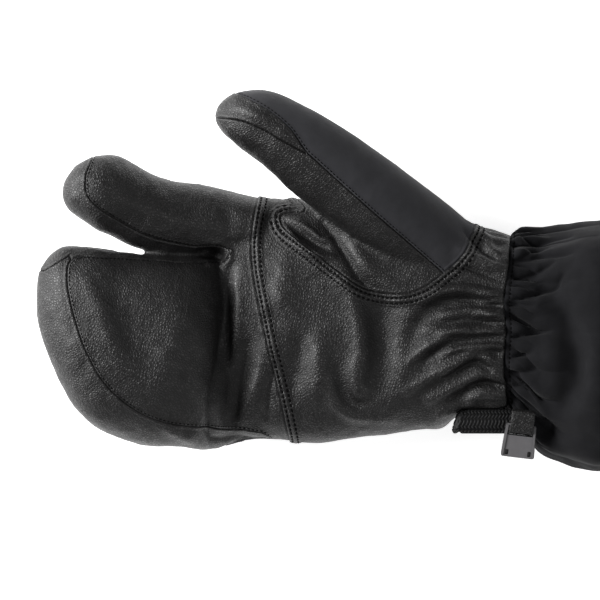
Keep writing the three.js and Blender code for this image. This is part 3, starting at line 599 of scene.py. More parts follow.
def refined(points, triangles, parents, chosen):
    """Halves every edge whose two ends are chosen: a triangle with three such edges becomes
    four, and one with a single such edge becomes two. `parents` goes with the triangles."""
    pairs = edges_of(triangles)
    pairs = pairs[chosen[pairs].all(1)]
    size = len(points)
    key = pairs[:, 0].astype(np.int64) * size + pairs[:, 1]
    ends = triangles[:, [[0, 1], [1, 2], [2, 0]]]
    wanted = ends.min(2).astype(np.int64) * size + ends.max(2)
    found = np.clip(np.searchsorted(key, wanted), 0, len(key) - 1)
    middle = np.where(key[found] == wanted, size + found, -1)
    halved = (middle >= 0).sum(1)
    v, m = triangles[halved == 3], middle[halved == 3]
    pieces = [
        triangles[halved == 0], np.stack([v[:, 0], m[:, 0], m[:, 2]], -1),
        np.stack([m[:, 0], v[:, 1], m[:, 1]], -1), np.stack([m[:, 2], m[:, 1], v[:, 2]], -1), m,
    ]
    owners = [parents[halved == 0]] + [parents[halved == 3]] * 4
    v, m = triangles[halved == 1], middle[halved == 1]
    first = np.argmax(m, axis=1)
    rows = np.arange(len(v))
    a, b, c = (v[rows, (first + k) % 3] for k in range(3))
    m = m[rows, first]
    pieces += [np.stack([a, m, c], -1), np.stack([m, b, c], -1)]
    owners += [parents[halved == 1]] * 2
    return np.vstack([points, points[pairs].mean(1)]), np.vstack(pieces), np.concatenate(owners)


def nearest(points, targets):
    """Distance from each point to the closest of the targets, and that target's number."""
    best, which = np.empty(len(points)), np.empty(len(points), int)
    for start in range(0, len(points), 4000):
        some = points[start:start + 4000]
        square = (some ** 2).sum(1)[:, None] - 2 * some @ targets.T + (targets ** 2).sum(1)
        which[start:start + 4000] = square.argmin(1)
        best[start:start + 4000] = np.sqrt(np.maximum(square.min(1), 0))
    return best, which


def seam_points(points, triangles, parents):
    """The vertices where panels meet: the ends of the edges whose two triangles differ."""
    pairs = np.vstack([triangles[:, [0, 1]], triangles[:, [1, 2]], triangles[:, [2, 0]]])
    owner = np.tile(parents, 3)
    code = pairs.min(1).astype(np.int64) * len(points) + pairs.max(1)
    order = np.argsort(code, kind="stable")
    code, owner, pairs = code[order], owner[order], pairs[order]
    differ = (code[1:] == code[:-1]) & (owner[1:] != owner[:-1])
    return np.unique(pairs[1:][differ])


def members(panels, count):
    """Which vertices touch a triangle of the given panels."""
    touched = np.zeros(count, bool)
    touched[faces[np.isin(panel_of, [PANELS.index(name) for name in panels])].ravel()] = True
    return touched


SEAM_REACH = 3.2  # mm on both sides of a seam where the skin is made finer
ROWS_REACH = 7.5  # mm from a lapped joint to past its second stitch row
BACK_FACING = -0.35  # a normal's height below which the skin belongs to the mitt's back
joints = skin[seam_points(skin, faces, panel_of)]
fine = nearest(skin, joints)[0] < SEAM_REACH
palm_skin = members(["palm_panel"], len(skin))
fine |= palm_skin & (np.abs(side_of(skin, "fingers")) < ROWS_REACH)
fine |= palm_skin & (np.abs(side_of(skin, "thumb")) < ROWS_REACH)
fine &= outward(skin, faces)[:, 2] > BACK_FACING
skin, faces, panel_of = refined(skin, faces, panel_of, fine)


def eased(value, low, high):
    """0 below `low` and 1 above `high`, with a cubic step between them."""
    t = np.clip((value - low) / (high - low), 0, 1)
    return t * t * (3 - 2 * t)


def bell(distance, width, crisp=2.0):
    """1 at no distance, dying away over `width`; `crisp` 1 is a sharp crease, 2 a soft one."""
    return np.exp(-(np.abs(distance) / width) ** crisp)


def lumps(points, size, seed):
    """Smooth noise: random values at the corners of a cubic lattice, blended with a cubic
    step along each axis."""
    lattice = np.random.default_rng(seed).standard_normal((32, 32, 32))
    where = points / size + 500
    corner = np.floor(where).astype(int)
    t = where - corner
    t = t * t * (3 - 2 * t)
    total = np.zeros(len(points))
    for offset in np.ndindex(2, 2, 2):
        share = np.prod(np.where(offset, t, 1 - t), axis=1)
        i, j, k = ((corner + offset) % 32).T
        total += share * lattice[i, j, k]
    return total


def pressed(plan, folds):
    """How deep the folds press in at plan points. A fold follows a curve through its points;
    it is a bell across the curve and swells and fades along it. Below 0 it is a ridge."""
    depth = np.zeros(len(plan))
    for deep, wide, crisp, path in folds:
        curve = spline_through(path, 5)
        step = np.linalg.norm(np.diff(curve, axis=0), axis=1)
        start = np.append(0, np.cumsum(step))
        low, high = curve.min(0) - 3.5 * wide, curve.max(0) + 3.5 * wide
        near = np.flatnonzero(((plan > low) & (plan < high)).all(1))
        best, along = np.full(len(near), np.inf), np.zeros(len(near))
        for k in range(len(step)):
            line = curve[k + 1] - curve[k]
            t = np.clip((plan[near] - curve[k]) @ line / (line @ line), 0, 1)
            away = np.linalg.norm(plan[near] - curve[k] - t[:, None] * line, axis=1)
            closer = away < best
            best[closer], along[closer] = away[closer], start[k] + t[closer] * step[k]
        share = along / start[-1]
        fade = np.sqrt(np.clip(np.sin(np.pi * np.clip(0.06 + 0.88 * share, 0, 1)), 0, 1))
        depth[near] += deep * bell(best, wide, crisp) * fade
    return depth


# Depth and half width in mm, crispness, and the path in plan mm
HAND_FOLDS = [
    # where the pouch bends up from the palm
    (2.6, 2.8, 1.3, [
        (-65, 25), (-66, 17), (-66, 9), (-67, -4), (-69, -18), (-72, -32), (-74, -43), (-73, -60)]),
    (-1.6, 3.2, 2, [(-62, 14), (-62, 0), (-64, -14), (-67, -26), (-70, -36)]),
    (-2.0, 3.6, 2, [(-50, -12), (-52, -24), (-55, -34), (-58, -43)]),
    (2.0, 2.0, 1.4, [(-57, -10), (-59, -22), (-61, -33), (-62, -42)]),
    (1.2, 1.6, 1.4, [(-45, -20), (-47, -32), (-48, -44)]),
    (-1.4, 5.0, 2, [(-44, -8), (-46, -22), (-48, -36)]),
    (2.2, 2.2, 1.2, [(-76, -50), (-72, -54), (-63, -54), (-52, -57)]),
    (-1.6, 3.0, 2, [(-79, -55), (-86, -52), (-96, -47)]),
    # the hollow of the palm and the rolls round it
    (3.8, 7.0, 2, [(1, 16), (3, 4), (4, -5), (4, -14), (3, -23), (0, -33)]),
    (-2.4, 4.4, 2, [(-13, 16), (-9, 5), (-7, -4), (-6, -14), (-8, -22), (-8, -30), (-2, -36), (5, -38)]),
    (1.6, 3.2, 2, [(-16, -22), (-14, -32), (-9, -37), (-3, -36)]),
    (-1.7, 3.0, 2, [(-21, -27), (-18, -37), (-11, -42), (-1, -44), (8, -44)]),
    (-2.0, 4.2, 2, [(-26, -10), (-25, -22), (-27, -33)]),
    (1.3, 3.6, 2, [(-33, -10), (-35, -22), (-37, -34)]),
    (-1.2, 6.0, 2, [(-41, 30), (-42, 16), (-41, 2)]),
    (1.0, 8.0, 2, [(-30, 20), (-24, 8), (-22, -4)]),
    # creases under the thumb
    (3.4, 2.6, 1.2, [(-24, 45), (-19, 38), (-13, 29), (-9, 22), (-3, 14)]),
    (-1.6, 4.0, 2, [(-12, 36), (-6, 27), (1, 19), (11, 13)]),
    (-2.3, 1.8, 2, [(-40, 41), (-36, 36), (-31, 31.5), (-26, 29), (-20, 28)]),
    (3.0, 2.0, 1.3, [(-33, 39), (-27, 35), (-21, 31.5)]),
    (-1.9, 1.4, 2, [(-40, 46), (-34, 43.5), (-29, 40), (-24, 36), (-20, 37)]),
    # ridges that run out of the gathers at the wrist, and the creases between them
    (2.2, 4.0, 2, [(15, -13), (18, -4), (24, 3), (32, 6), (43, 7)]),
    (-1.5, 2.0, 2, [(43, 44), (49, 37), (53, 31), (58, 27)]),
    (1.5, 1.3, 1.3, [(40, 40), (46, 33), (52, 28), (58, 25)]),
    (-1.7, 2.2, 2, [(38, 31), (46, 28), (52, 25), (59, 23)]),
    (1.6, 1.3, 1.3, [(34, 24), (43, 23), (51, 20), (59, 17)]),
    (-2.3, 2.6, 2, [(20, 7), (31, 13), (42, 14), (56, 11)]),
    (2.0, 1.5, 1.3, [(30, 9), (40, 9.5), (50, 8), (59, 6)]),
    (-1.7, 2.0, 2, [(31, 3), (41, 5), (50, 4), (58, 2)]),
    (1.8, 1.4, 1.3, [(30, -2), (40, 0), (50, -1), (59, -1.5)]),
    (-2.2, 2.4, 2, [(16, -18), (26, -10), (36, -5), (47, -6), (58, -5)]),
    (1.8, 1.5, 1.3, [(22, -19), (31, -12), (43, -9.5), (56, -8.5)]),
    (-1.5, 1.8, 2, [(30, -16), (40, -12), (50, -11), (58, -11)]),
    (-2.5, 2.4, 2, [(14, -32), (25, -25), (35, -20), (44, -15), (51, -16), (55, -21)]),
    (1.9, 1.6, 1.3, [(32, -26), (40, -21), (46, -19), (52, -22)]),
    (-2.1, 2.2, 2, [(24, -36), (34, -31), (43, -26), (50, -24), (58, -27)]),
    (1.7, 1.4, 1.3, [(33, -36), (42, -31), (50, -28.5), (58, -30)]),
    (-2.0, 2.2, 2, [(29, -43), (39, -37), (48, -32), (58, -33)]),
    # the rolled edge round the root of the gap between index stall and pouch, and the gap
    (2.6, 2.0, 2, [(-78, 30), (-74, 30), (-70, 29.8)]),
    (-1.0, 1.3, 2, [(-76, 34.8), (-70, 34.6), (-65.6, 32), (-65.4, 27), (-69, 24.6), (-75, 25)]),
    # the pouch, the index stall and the thumb
    (-1.3, 5.0, 2, [(-129, 18), (-124, 7), (-119, -6), (-112, -22)]),
    (1.1, 7.0, 2, [(-115, 14), (-108, -2), (-100, -20)]),
    (-0.9, 6.0, 2, [(-84, 6), (-90, -14), (-98, -32)]),
    (0.9, 4.5, 2, [(-94, 65), (-90, 57), (-84, 51)]),
    (0.7, 3.5, 2, [(-68, 55), (-66, 46), (-67, 38)]),
    (-0.8, 3.5, 2, [(-118, 57), (-101, 49), (-83, 44), (-70, 43)]),
    (0.8, 3.4, 2, [(-64, 92), (-57, 88), (-48, 82)]),
    (-0.9, 2.4, 2, [(-62, 95), (-55, 92), (-46, 87), (-38, 81)]),
]

normal = outward(skin, faces)
plan = skin[:, :2]
palm_facing = eased(normal[:, 2], BACK_FACING, 0.3)
push = -pressed(plan, HAND_FOLDS) * palm_facing

# The leather's own gathers at the wrist seam
wrist_gap = np.maximum(WRIST_X - skin[:, 0], 0)
wrist_angle = np.arctan2(skin[:, 2] - 0.5 * HAND_DEPTH, skin[:, 1])
long_pleats = 2 * np.abs(np.cos(9 * wrist_angle + 0.9 * np.sin(3 * wrist_angle + 1))) - 1
short_pleats = 2 * np.abs(np.cos(22 * wrist_angle + 2.2 * np.sin(4 * wrist_angle))) - 1
uneven = 0.8 + 0.45 * lumps(skin, 13, 8)
push += 0.9 * uneven * long_pleats * (wrist_gap / 10) * np.exp(1 - wrist_gap / 10)
push += 0.6 * uneven * short_pleats * (wrist_gap / 4.5) * np.exp(1 - wrist_gap / 4.5)

# Small unevenness of worn padded leather, less of it in the softshell. Each row is the size of
# its lumps and their height, in mm, and a seed.
cloth_skin = members(["hand_back_panel", "thumb_back_panel"], len(skin))
unevenness = sum(
    high * lumps(skin, size, seed)
    for size, high, seed in ((26, 0.55, 1), (11, 0.3, 2), (5, 0.13, 3), (2.4, 0.05, 4)))
push += unevenness * np.where(cloth_skin, 0.45, 1.0)

# The hand's outer flank near the wrist, pushed out over the leash
push += 1.9 * eased(skin[:, 0], 36, 44) * eased(-normal[:, 1], 0.2, 0.8) * (skin[:, 1] < -30)

# The seams. Everywhere two panels meet, both roll down into the joint, least where the
# seam runs over the edge of the mitt.
joints = skin[seam_points(skin, faces, panel_of)]
gap, _ = nearest(skin, joints)
push += (0.25 * bell(gap - 0.9, 0.6) - 0.35 * bell(gap, 0.34, 1.5)) * (0.15 + 0.85 * palm_facing)

# Most seams have one row of small stitches beside the joint. Where the palm meets the fingers
# and the thumb it is lapped over and stitched down in two rows, so it has a raised edge.
STITCH_ROWS = {  # cut: panels with the rows, panels across the joint, seam, mm to rows, pitch
    "fingers": (["palm_panel"], ["finger_palm_panel"], palm_seam, (1.5, 4.0), 2.3),
    "thumb": (
        ["palm_panel"], ["thumb_palm_panel", "thumb_back_panel"], thumb_base_seam, (1.8, 4.4),
        1.95),
    "finger palm": (
        ["finger_palm_panel"], ["finger_side_strip", "pouch_side_strip"], finger_seam, (0.95,),
        1.9),
    "thumb back": (
        ["thumb_back_panel"], ["thumb_palm_panel", "thumb_tip_cap"], thumb_back_seam, (0.85,),
        1.9),
}
SEAM_HOOK = np.array([-32, 50.5])  # where the thumb's seam turns too tightly for its rows
RUN_STEP = 0.25  # mm between the points of a joint's even line
stitched = {}  # cut: skin points near its rows, how far off and along the joint, and the line
for cut, (owners, others, seam, rows, pitch) in STITCH_ROWS.items():
    lapped = len(rows) == 2
    own = members(owners, len(skin))
    joint = skin[own & members(others, len(skin)) & (normal[:, 2] > 0)]
    order = np.argsort(nearest(joint[:, :2], spline_through(seam, 12))[1], kind="stable")
    joint = joint[order]
    for _ in range(4):
        joint[1:-1] = (joint[:-2] + 2 * joint[1:-1] + joint[2:]) / 4
    length = np.append(0, np.cumsum(np.linalg.norm(np.diff(joint, axis=0), axis=1)))
    even = np.arange(0, length[-1], RUN_STEP)
    line = np.stack([np.interp(even, length, joint[:, k]) for k in range(3)], -1)
    reach = 9 if lapped else 3.5
    close = np.flatnonzero(own)
    close = close[gap[close] < reach]
    close = close[np.abs(side_of(skin[close], cut)) < reach]
    away, which = nearest(skin[close], line)
    stitched[cut] = (close, away, even[which], line)
    dimple = 0.5 + 0.5 * np.cos(2 * np.pi * even[which] / pitch)
    if lapped:
        raised = 0.55 * eased(away, 0.0, 1.0) * (1 - eased(away, rows[1] + 0.2, rows[1] + 1.8))
        raised += 0.3 * bell(away, 0.5, 1.5) + 0.3 * bell(away - sum(rows) / 2, 0.7)
        for row in rows:
            raised -= (0.12 + 0.55 * dimple) * bell(away - row, 0.5)
    else:
        raised = -(0.05 + 0.22 * dimple) * bell(away - rows[0], 0.4)
    calm = eased(np.linalg.norm(skin[close, :2] - SEAM_HOOK, axis=1), 4, 7)
    push[close] += raised * calm

# The gathers draw the wrist seam out of line: an offset along X by y, dying away from it
SEAM_WANDER = np.array([
    (-70, 0), (-39, 0), (-28, -1.2), (-18, -1.8), (-6, -0.9), (2, -1.2), (9, -1.8), (18, -0.6),
    (26, 0.5), (33, 1.0), (39, 1.8), (60, 0),
])


def wandered(points):
    """Moves points along X with the wrist seam, less the farther off they are."""
    flat = points.reshape(-1, 3).copy()
    drawn = columns_at(SEAM_WANDER, np.clip(flat[:, 1], -70, 60))[:, 1]
    flat[:, 0] += drawn * np.exp(-np.abs(flat[:, 0] - WRIST_X) / 11)
    return flat.reshape(points.shape)


skin = wandered(skin + normal * push[:, None])
skin[:, 2] = rest_on_table(skin[:, 2], 0.6)
normal = outward(skin, faces)
edges = edges_of(faces)
proud = ((skin - smoothed(skin, edges, 6)) * normal).sum(1)
# How proud the leather stands: its proud places are rubbed shinier, and the same mask paints them
# lighter in colour, a painted highlight where edges catch the light.
wear_and_highlight = np.clip(0.5 + smoothed(proud[:, None], edges, 2)[:, 0] / 0.22, 0, 1)

leather = Finish("leather", specular_ior_level=0.5, coat_roughness=0.34)
pebbles = leather.between(leather.cells(1.15), 0.0, 0.36)
pores = leather.noise(0.5, 3, 0.6)
wrinkles = leather.noise(3.2, 4, 0.6)
patches = leather.between(leather.noise(14, 3, 0.6), 0.3, 0.7)
rubbed_and_highlit = leather.node("ShaderNodeAttribute", {"attribute_name": "wear_and_highlight"}).outputs["Fac"]
rubbed_shine_and_highlight = leather.between(rubbed_and_highlit, 0.35, 0.95)
# Lighter on the grain's tops and in patches of random tone, and lighter on proud places as a painted
# highlight.
leather.set("Base Color", leather.colour(
    pebbles * (0.3 + patches * 0.2 + rubbed_shine_and_highlight * 0.5),
    (0.002, 0.0018, 0.0019), (0.0125, 0.0113, 0.0112)))
leather.set("Roughness", 0.62 - pebbles * 0.13 - rubbed_shine_and_highlight * 0.06 - patches * 0.04)
leather.set("Coat Weight", pebbles * (0.06 + rubbed_shine_and_highlight * 0.32))
leather.relief(pebbles + pores * 0.3 + wrinkles * 1.8, 0.155, 1.0)


def softshell_finish(name, dark, light, gloss):
    """A fine matte weave, its colour drifting a little between two."""
    cloth = Finish(name, roughness=0.85, specular_ior_level=gloss, sheen_weight=gloss / 3)
    weave = cloth.noise(0.3, 2, 0.6)
    cloth.set("Base Color", cloth.colour(
        cloth.between(cloth.noise(9, 3, 0.6), 0.3, 0.7) * 0.6 + cloth.between(weave, 0.3, 0.7) * 0.4,
        dark, light))
    cloth.relief(weave, 0.14, 0.7)
    return cloth


softshell = softshell_finish("softshell", (0.025, 0.025, 0.0285), (0.034, 0.034, 0.0385), 0.3)

lining = Finish("lining", roughness=0.95, sheen_weight=0.3)
lining.set("Base Color", lining.colour(lining.noise(0.8, 2), (0.01, 0.01, 0.012), (0.02, 0.02, 0.023)))
lining.relief(lining.noise(0.7, 3), 0.25, 0.7)

SHELL = 2.2  # mm of leather, padding and lining that the panel's wall shows
for number, name in enumerate(PANELS):
    used, local = np.unique(faces[panel_of == number], return_inverse=True)
    cloth = name in ("hand_back_panel", "thumb_back_panel")
    piece = put_mesh(
        f"{name}_cover", skin[used], local.reshape(-1, 3),
        [softshell if cloth else leather, lining],
    )
    wall = piece.modifiers.new("wall", "SOLIDIFY")
    wall.thickness = SHELL * MM
    wall.offset = -1
    wall.material_offset = 1
    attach(piece, "root")
    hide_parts(name)
    rubbed_and_highlit = piece.data.attributes.new("wear_and_highlight", "FLOAT", "POINT")
    rubbed_and_highlit.data.foreach_set("value", wear_and_highlight[used].astype(np.float32))

# The stitches: thick waxed thread, lying in the rows' grooves from one needle hole to the
# next. Each is a short capsule along the row, half sunk into the leather.
thread = Finish("thread", roughness=0.8, specular_ior_level=0.08)
thread.set("Base Color", thread.colour(
    thread.noise(0.4, 2), (0.0008, 0.0008, 0.0009), (0.003, 0.0029, 0.0029)))
thread.relief(thread.noise(0.2, 2), 0.05, 0.5)


def capsules(starts, ends, ups, thickness):
    """One capsule from each start to each end: rings of six points whose radius follows a
    half ellipse, closed to a point at both ends."""
    turn = np.linspace(0, 2 * np.pi, 6, endpoint=False)
    share = np.array([0.06, 0.25, 0.5, 0.75, 0.94])
    radius = 0.5 * thickness * np.sqrt(1 - (2 * share - 1) ** 2) ** 0.7
    ahead = ends - starts
    aside = np.cross(ups, ahead)
    aside /= np.linalg.norm(aside, axis=1)[:, None]
    ring = starts[:, None, None] + ahead[:, None, None] * share[None, :, None, None]
    ring = ring + radius[None, :, None, None] * (
        np.cos(turn)[None, None, :, None] * aside[:, None, None]
        + np.sin(turn)[None, None, :, None] * ups[:, None, None]
    )
    points = np.concatenate([ring.reshape(len(starts), 30, 3), starts[:, None], ends[:, None]], 1)
    k, after = np.arange(6), (np.arange(6) + 1) % 6
    one = [np.stack([6 * i + k, 6 * i + 6 + k, 6 * i + after], -1) for i in range(4)]
    one += [np.stack([6 * i + after, 6 * i + 6 + k, 6 * i + 6 + after], -1) for i in range(4)]
    one += [
        np.stack([k, after, np.full(6, 30)], -1),
        np.stack([24 + after, 24 + k, np.full(6, 31)], -1),
    ]
    one = np.vstack(one)
    faces = one[None] + 32 * np.arange(len(starts))[:, None, None]
    return points.reshape(-1, 3), faces.reshape(-1, 3)[:, ::-1]


def on_seam(cut, row, along):
    """Places on the skin and their normals at distances from and along a stitched seam:
    means of the skin's points, weighted by a bell over how far off they are."""
    close, away, run, _ = stitched[cut]
    off = (away[None, :] - row) ** 2 + (run[None, :] - along[:, None]) ** 2
    off -= off.min(1, keepdims=True)
    weight = np.exp(-off / 0.35 ** 2)
    weight /= weight.sum(1, keepdims=True)
    up = weight @ normal[close]
    return weight @ skin[close], up / np.linalg.norm(up, axis=1)[:, None]


def put_stitches(name, starts, ends, ups, thickness):
    """A piece of stitches, one from each start to each end that lies a stitch's length off."""
    long = np.linalg.norm(ends - starts, axis=1)
    whole = (long > 0.6 * np.median(long)) & (long < 1.5 * np.median(long))
    starts, ends, ups = starts[whole], ends[whole], ups[whole]
    stitches = put_mesh(name, *capsules(starts, ends, ups, thickness), [thread])
    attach(stitches, "root")


STITCH_SHARE = 0.66  # of the pitch that a stitch shows
for cut, (_, _, _, rows, pitch) in STITCH_ROWS.items():
    line = stitched[cut][3]
    middles = np.arange(1.5 * pitch, RUN_STEP * len(line) - pitch, pitch) + pitch / 2
    spots = line[(middles / RUN_STEP).astype(int), :2]
    middles = middles[np.linalg.norm(spots - SEAM_HOOK, axis=1) > 6]
    half = STITCH_SHARE * pitch / 2
    starts, ups = zip(*[on_seam(cut, row, middles - half) for row in rows])
    ends, _ = zip(*[on_seam(cut, row, middles + half) for row in rows])
    put_stitches(
        f"{cut.replace(' ', '_')}_seam_stitches", np.vstack(starts), np.vstack(ends),
        np.vstack(ups), 0.8 if len(rows) == 2 else 0.5)

# The cuff: a softshell gauntlet, gathered by its lining's elastic on to the wrist seam, so
# that it springs out of the seam in uneven pleats and hangs smooth towards the hem.
CUFF_LENGTH, CUFF_WIDTH, CUFF_DEPTH, CUFF_CORNER = 95.0, 116.0, 64.0, 2.1
HEM_LENGTH, HEM_STEP, CUFF_WALL = 14.0, 0.9, 2.4
SEAM_STEP = 0.1  # mm between the wrist seam and the cuff's own edge
# Each row as in the hand: share of the length, sway, width, lift, reach up, reach down
cuff_rows = np.array([
    (0, -0.0076, 0.673, 0.397, 0.345, 0.397), (0.06, -0.032, 0.74, 0.33, 0.39, 0.34),
    (0.157, -0.08, 0.845, 0.26, 0.46, 0.3), (0.25, -0.092, 0.9, 0.3, 0.5, 0.34),
    (0.42, -0.101, 0.962, 0.4, 0.53, 0.43), (1, -0.103, 1, 0.48, 0.52, 0.5),
])


def gathered(angle, distance):
    """How far the gathers stand out: round crests with sharp valleys between them, of uneven
    pitch, highest 9 mm from the seam, on slower folds that are highest 26 mm from it."""
    near, far = distance / 9, distance / 26
    pleats = 2 * np.abs(np.cos(8 * angle + 0.8 * np.sin(3 * angle + 0.5))) - 1
    folds = np.cos(7 * angle + 1.4 * np.sin(2 * angle + 1))
    puckers = 2 * np.abs(np.cos(19 * angle + 2 * np.sin(5 * angle))) - 1
    return (
        1.9 * pleats * near * np.exp(1 - near) + 1.3 * folds * far * np.exp(1 - far)
        + 0.6 * puckers * (distance / 4) * np.exp(1 - distance / 4)
        - 0.35 * np.exp(-distance / 0.5)
    )


CUFF_FOLDS = [  # depth and half width in mm, crispness, and the path in plan mm
    (2.6, 1.7, 1.1, [(60, 27), (69, 27), (73, 28), (88, 30)]),
    (2.2, 1.8, 1.2, [(66, 28), (71, 31.5), (79, 36), (88, 38)]),
    (2.0, 1.5, 1.2, [(63, 40), (66, 37), (70, 34), (73, 32)]),
    (1.8, 1.3, 1.1, [(60, 25), (68, 23.5), (72, 21)]),
    (1.9, 1.4, 1.2, [(63, 18), (71, 20), (75, 22), (80, 26)]),
    (3.0, 1.6, 1.1, [(63, 9), (71, 10.8), (75, 12.6), (80, 15), (84, 20)]),
    (1.8, 1.2, 1.2, [(60, 7), (65, 6.6), (71, 6.2)]),
    (1.9, 1.3, 1.2, [(60.5, 3), (65, 0), (71, -3)]),
    (2.8, 1.5, 1.1, [(61, -8), (70, -6.3), (78, -5.8)]),
    (2.0, 1.3, 1.2, [(61, -17), (66, -16), (70, -14.6)]),
    (2.2, 1.4, 1.2, [(60, -24), (67, -23.4), (73, -22.6)]),
    (1.8, 1.3, 1.2, [(61, -29.5), (66, -29.3), (70, -29.8)]),
    (2.4, 2.6, 1.4, [(64, -33), (68, -36), (74, -43), (82, -54)]),
    (-1.5, 2.6, 2, [(66, -31), (72, -36), (79, -45)]),
    (5.0, 5.5, 2, [(79, 12), (85, -1), (88.5, -14), (88, -28), (84, -38)]),
    (-1.6, 7.0, 2, [(75, 2), (78, -10), (80, -24)]),
    (-1.4, 5.0, 2, [(74, 16), (78, 8)]),
]


def cuff_points(distance, angle, proud):
    """The cuff's rounded-box sections, grown by its gathers and by `proud`, flat on the table."""
    value = columns_at(cuff_rows, np.ravel(distance) / CUFF_LENGTH)
    value = value.reshape(*np.shape(distance), -1)
    swell = proud + gathered(angle, distance)
    across, rise = rounded_box(
        angle, value[..., 2] * CUFF_WIDTH / 2 + swell, value[..., 4] * CUFF_DEPTH + swell,
        value[..., 5] * CUFF_DEPTH + swell, CUFF_CORNER,
    )
    height = rest_on_table(value[..., 3] * CUFF_DEPTH + rise) + np.maximum(-proud, 0)
    return np.stack([WRIST_X + distance, value[..., 1] * CUFF_WIDTH + across, height], -1)


def ring_faces(rows, columns, wrap_rows=False):
    """Quads of a grid whose columns close into rings."""
    row, column = np.meshgrid(
        np.arange(rows if wrap_rows else rows - 1), np.arange(columns), indexing="ij")
    a, b = row * columns + column, row * columns + (column + 1) % columns
    step = (row + 1) % rows * columns - row * columns
    return np.stack([a, b, b + step, a + step], -1).reshape(-1, 4)


CUFF_AROUND, CUFF_ROWS = ((430, 130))
cuff_distance = (
    SEAM_STEP + (CUFF_LENGTH - HEM_LENGTH - SEAM_STEP) * np.linspace(0, 1, CUFF_ROWS) ** 1.5)
cuff_angle = np.linspace(0, 2 * np.pi, CUFF_AROUND, endpoint=False)
cuff_angle = cuff_angle + 0.4 * np.cos(cuff_angle)  # closer together on the palm's side
cuff_grid = cuff_points(*np.meshgrid(cuff_distance, cuff_angle, indexing="ij"), 0.0)
across_rings = np.roll(cuff_grid, -1, 1) - np.roll(cuff_grid, 1, 1)
cuff_out = np.cross(across_rings, np.gradient(cuff_grid, axis=0))
cuff_out /= np.linalg.norm(cuff_out, axis=-1, keepdims=True)
cuff_push = (
    -1.3 * pressed(cuff_grid.reshape(-1, 3)[:, :2], CUFF_FOLDS).reshape(cuff_grid.shape[:2])
    * eased(cuff_out[..., 2], -0.1, 0.4)
    + sum(high * lumps(cuff_grid.reshape(-1, 3), size, seed).reshape(cuff_grid.shape[:2])
          for size, high, seed in ((30, 0.7, 5), (9, 0.3, 6), (3.5, 0.08, 7)))
)
billow = (cuff_distance / 8 * np.exp(1 - cuff_distance / 8))[:, None]
cuff_push += 2.0 * billow * eased(cuff_out[..., 2], 0.3, 0.85)
from_hem = CUFF_LENGTH - HEM_LENGTH - cuff_distance
cuff_push *= (eased(cuff_distance, 0, 5.5) * eased(from_hem, 0, 8))[:, None]
CUFF_ROW = 2.1  # mm from the wrist seam to the stitch row
cuff_push -= 0.22 * bell(cuff_distance - CUFF_ROW, 0.5)[:, None]  # the row's groove
cuff_grid = wandered(cuff_grid + cuff_out * cuff_push[..., None])
cuff_grid[..., 2] = rest_on_table(cuff_grid[..., 2], 0.6)

# The cuff is the same softshell as the hand's back, painted darker and with less gloss: painted shade,
# as the cuff lies turned away from the light.
cuff_shaded_softshell = softshell_finish(
    "cuff softshell painted shade", (0.0065, 0.0065, 0.0075), (0.0105, 0.0105, 0.012), 0.12)
# The wall's inner side is smooth lining, so it has fewer rings
inner_rows = np.linspace(CUFF_ROWS - 1, 0, CUFF_ROWS // 8).round().astype(int)
cuff_shell = np.concatenate([cuff_grid, cuff_grid[inner_rows] - CUFF_WALL * cuff_out[inner_rows]])
cuff = put_mesh(
    "gauntlet_cuff_cloth", cuff_shell.reshape(-1, 3),
    ring_faces(*cuff_shell.shape[:2], wrap_rows=True), [cuff_shaded_softshell, lining],
)
inside = np.arange(len(cuff.data.polygons)) >= CUFF_ROWS * CUFF_AROUND
cuff.data.polygons.foreach_set("material_index", inside.astype(np.int32))
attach(cuff, "root")
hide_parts("gauntlet_cuff")

# The row of stitches that holds the cuff to the hand
CUFF_PITCH, CUFF_STITCH = 2.0, 1.3  # mm from one stitch to the next, and of its length
ring = cuff_distance.searchsorted(CUFF_ROW)
hoop, hoop_out = cuff_grid[ring], cuff_out[ring]
hoop_length = np.append(0, np.cumsum(np.linalg.norm(np.diff(hoop, axis=0), axis=1)))
marks = np.arange(CUFF_PITCH / 2, hoop_length[-1] - CUFF_PITCH, CUFF_PITCH)
hoop_at = [
    np.stack([np.interp(marks + shift, hoop_length, values[:, k]) for k in range(3)], -1)
    for values, shift in ((hoop, 0), (hoop, CUFF_STITCH), (hoop_out, CUFF_STITCH / 2))
]
put_stitches("cuff_seam_stitches", *hoop_at, 0.75)

# The hem: the cuff's free end, folded in on itself and stitched down, so it is a thicker
# band with a rounded edge.
hem_turn = np.linspace(0, 2 * np.pi, 32, endpoint=False)[::-1]
hem_across, hem_rise = rounded_box(
    hem_turn, HEM_LENGTH / 2, HEM_STEP + CUFF_WALL / 2, HEM_STEP + CUFF_WALL / 2, 7)
hem_grid = np.stack([
    cuff_points(
        np.full_like(cuff_angle, CUFF_LENGTH - HEM_LENGTH / 2 + across), cuff_angle,
        rise - CUFF_WALL / 2)
    for across, rise in zip(hem_across, hem_rise)
])
hem = put_mesh(
    "cuff_hem_band", hem_grid.reshape(-1, 3), ring_faces(*hem_grid.shape[:2], wrap_rows=True),
    [cuff_shaded_softshell],
)
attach(hem, "root")
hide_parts("cuff_hem")

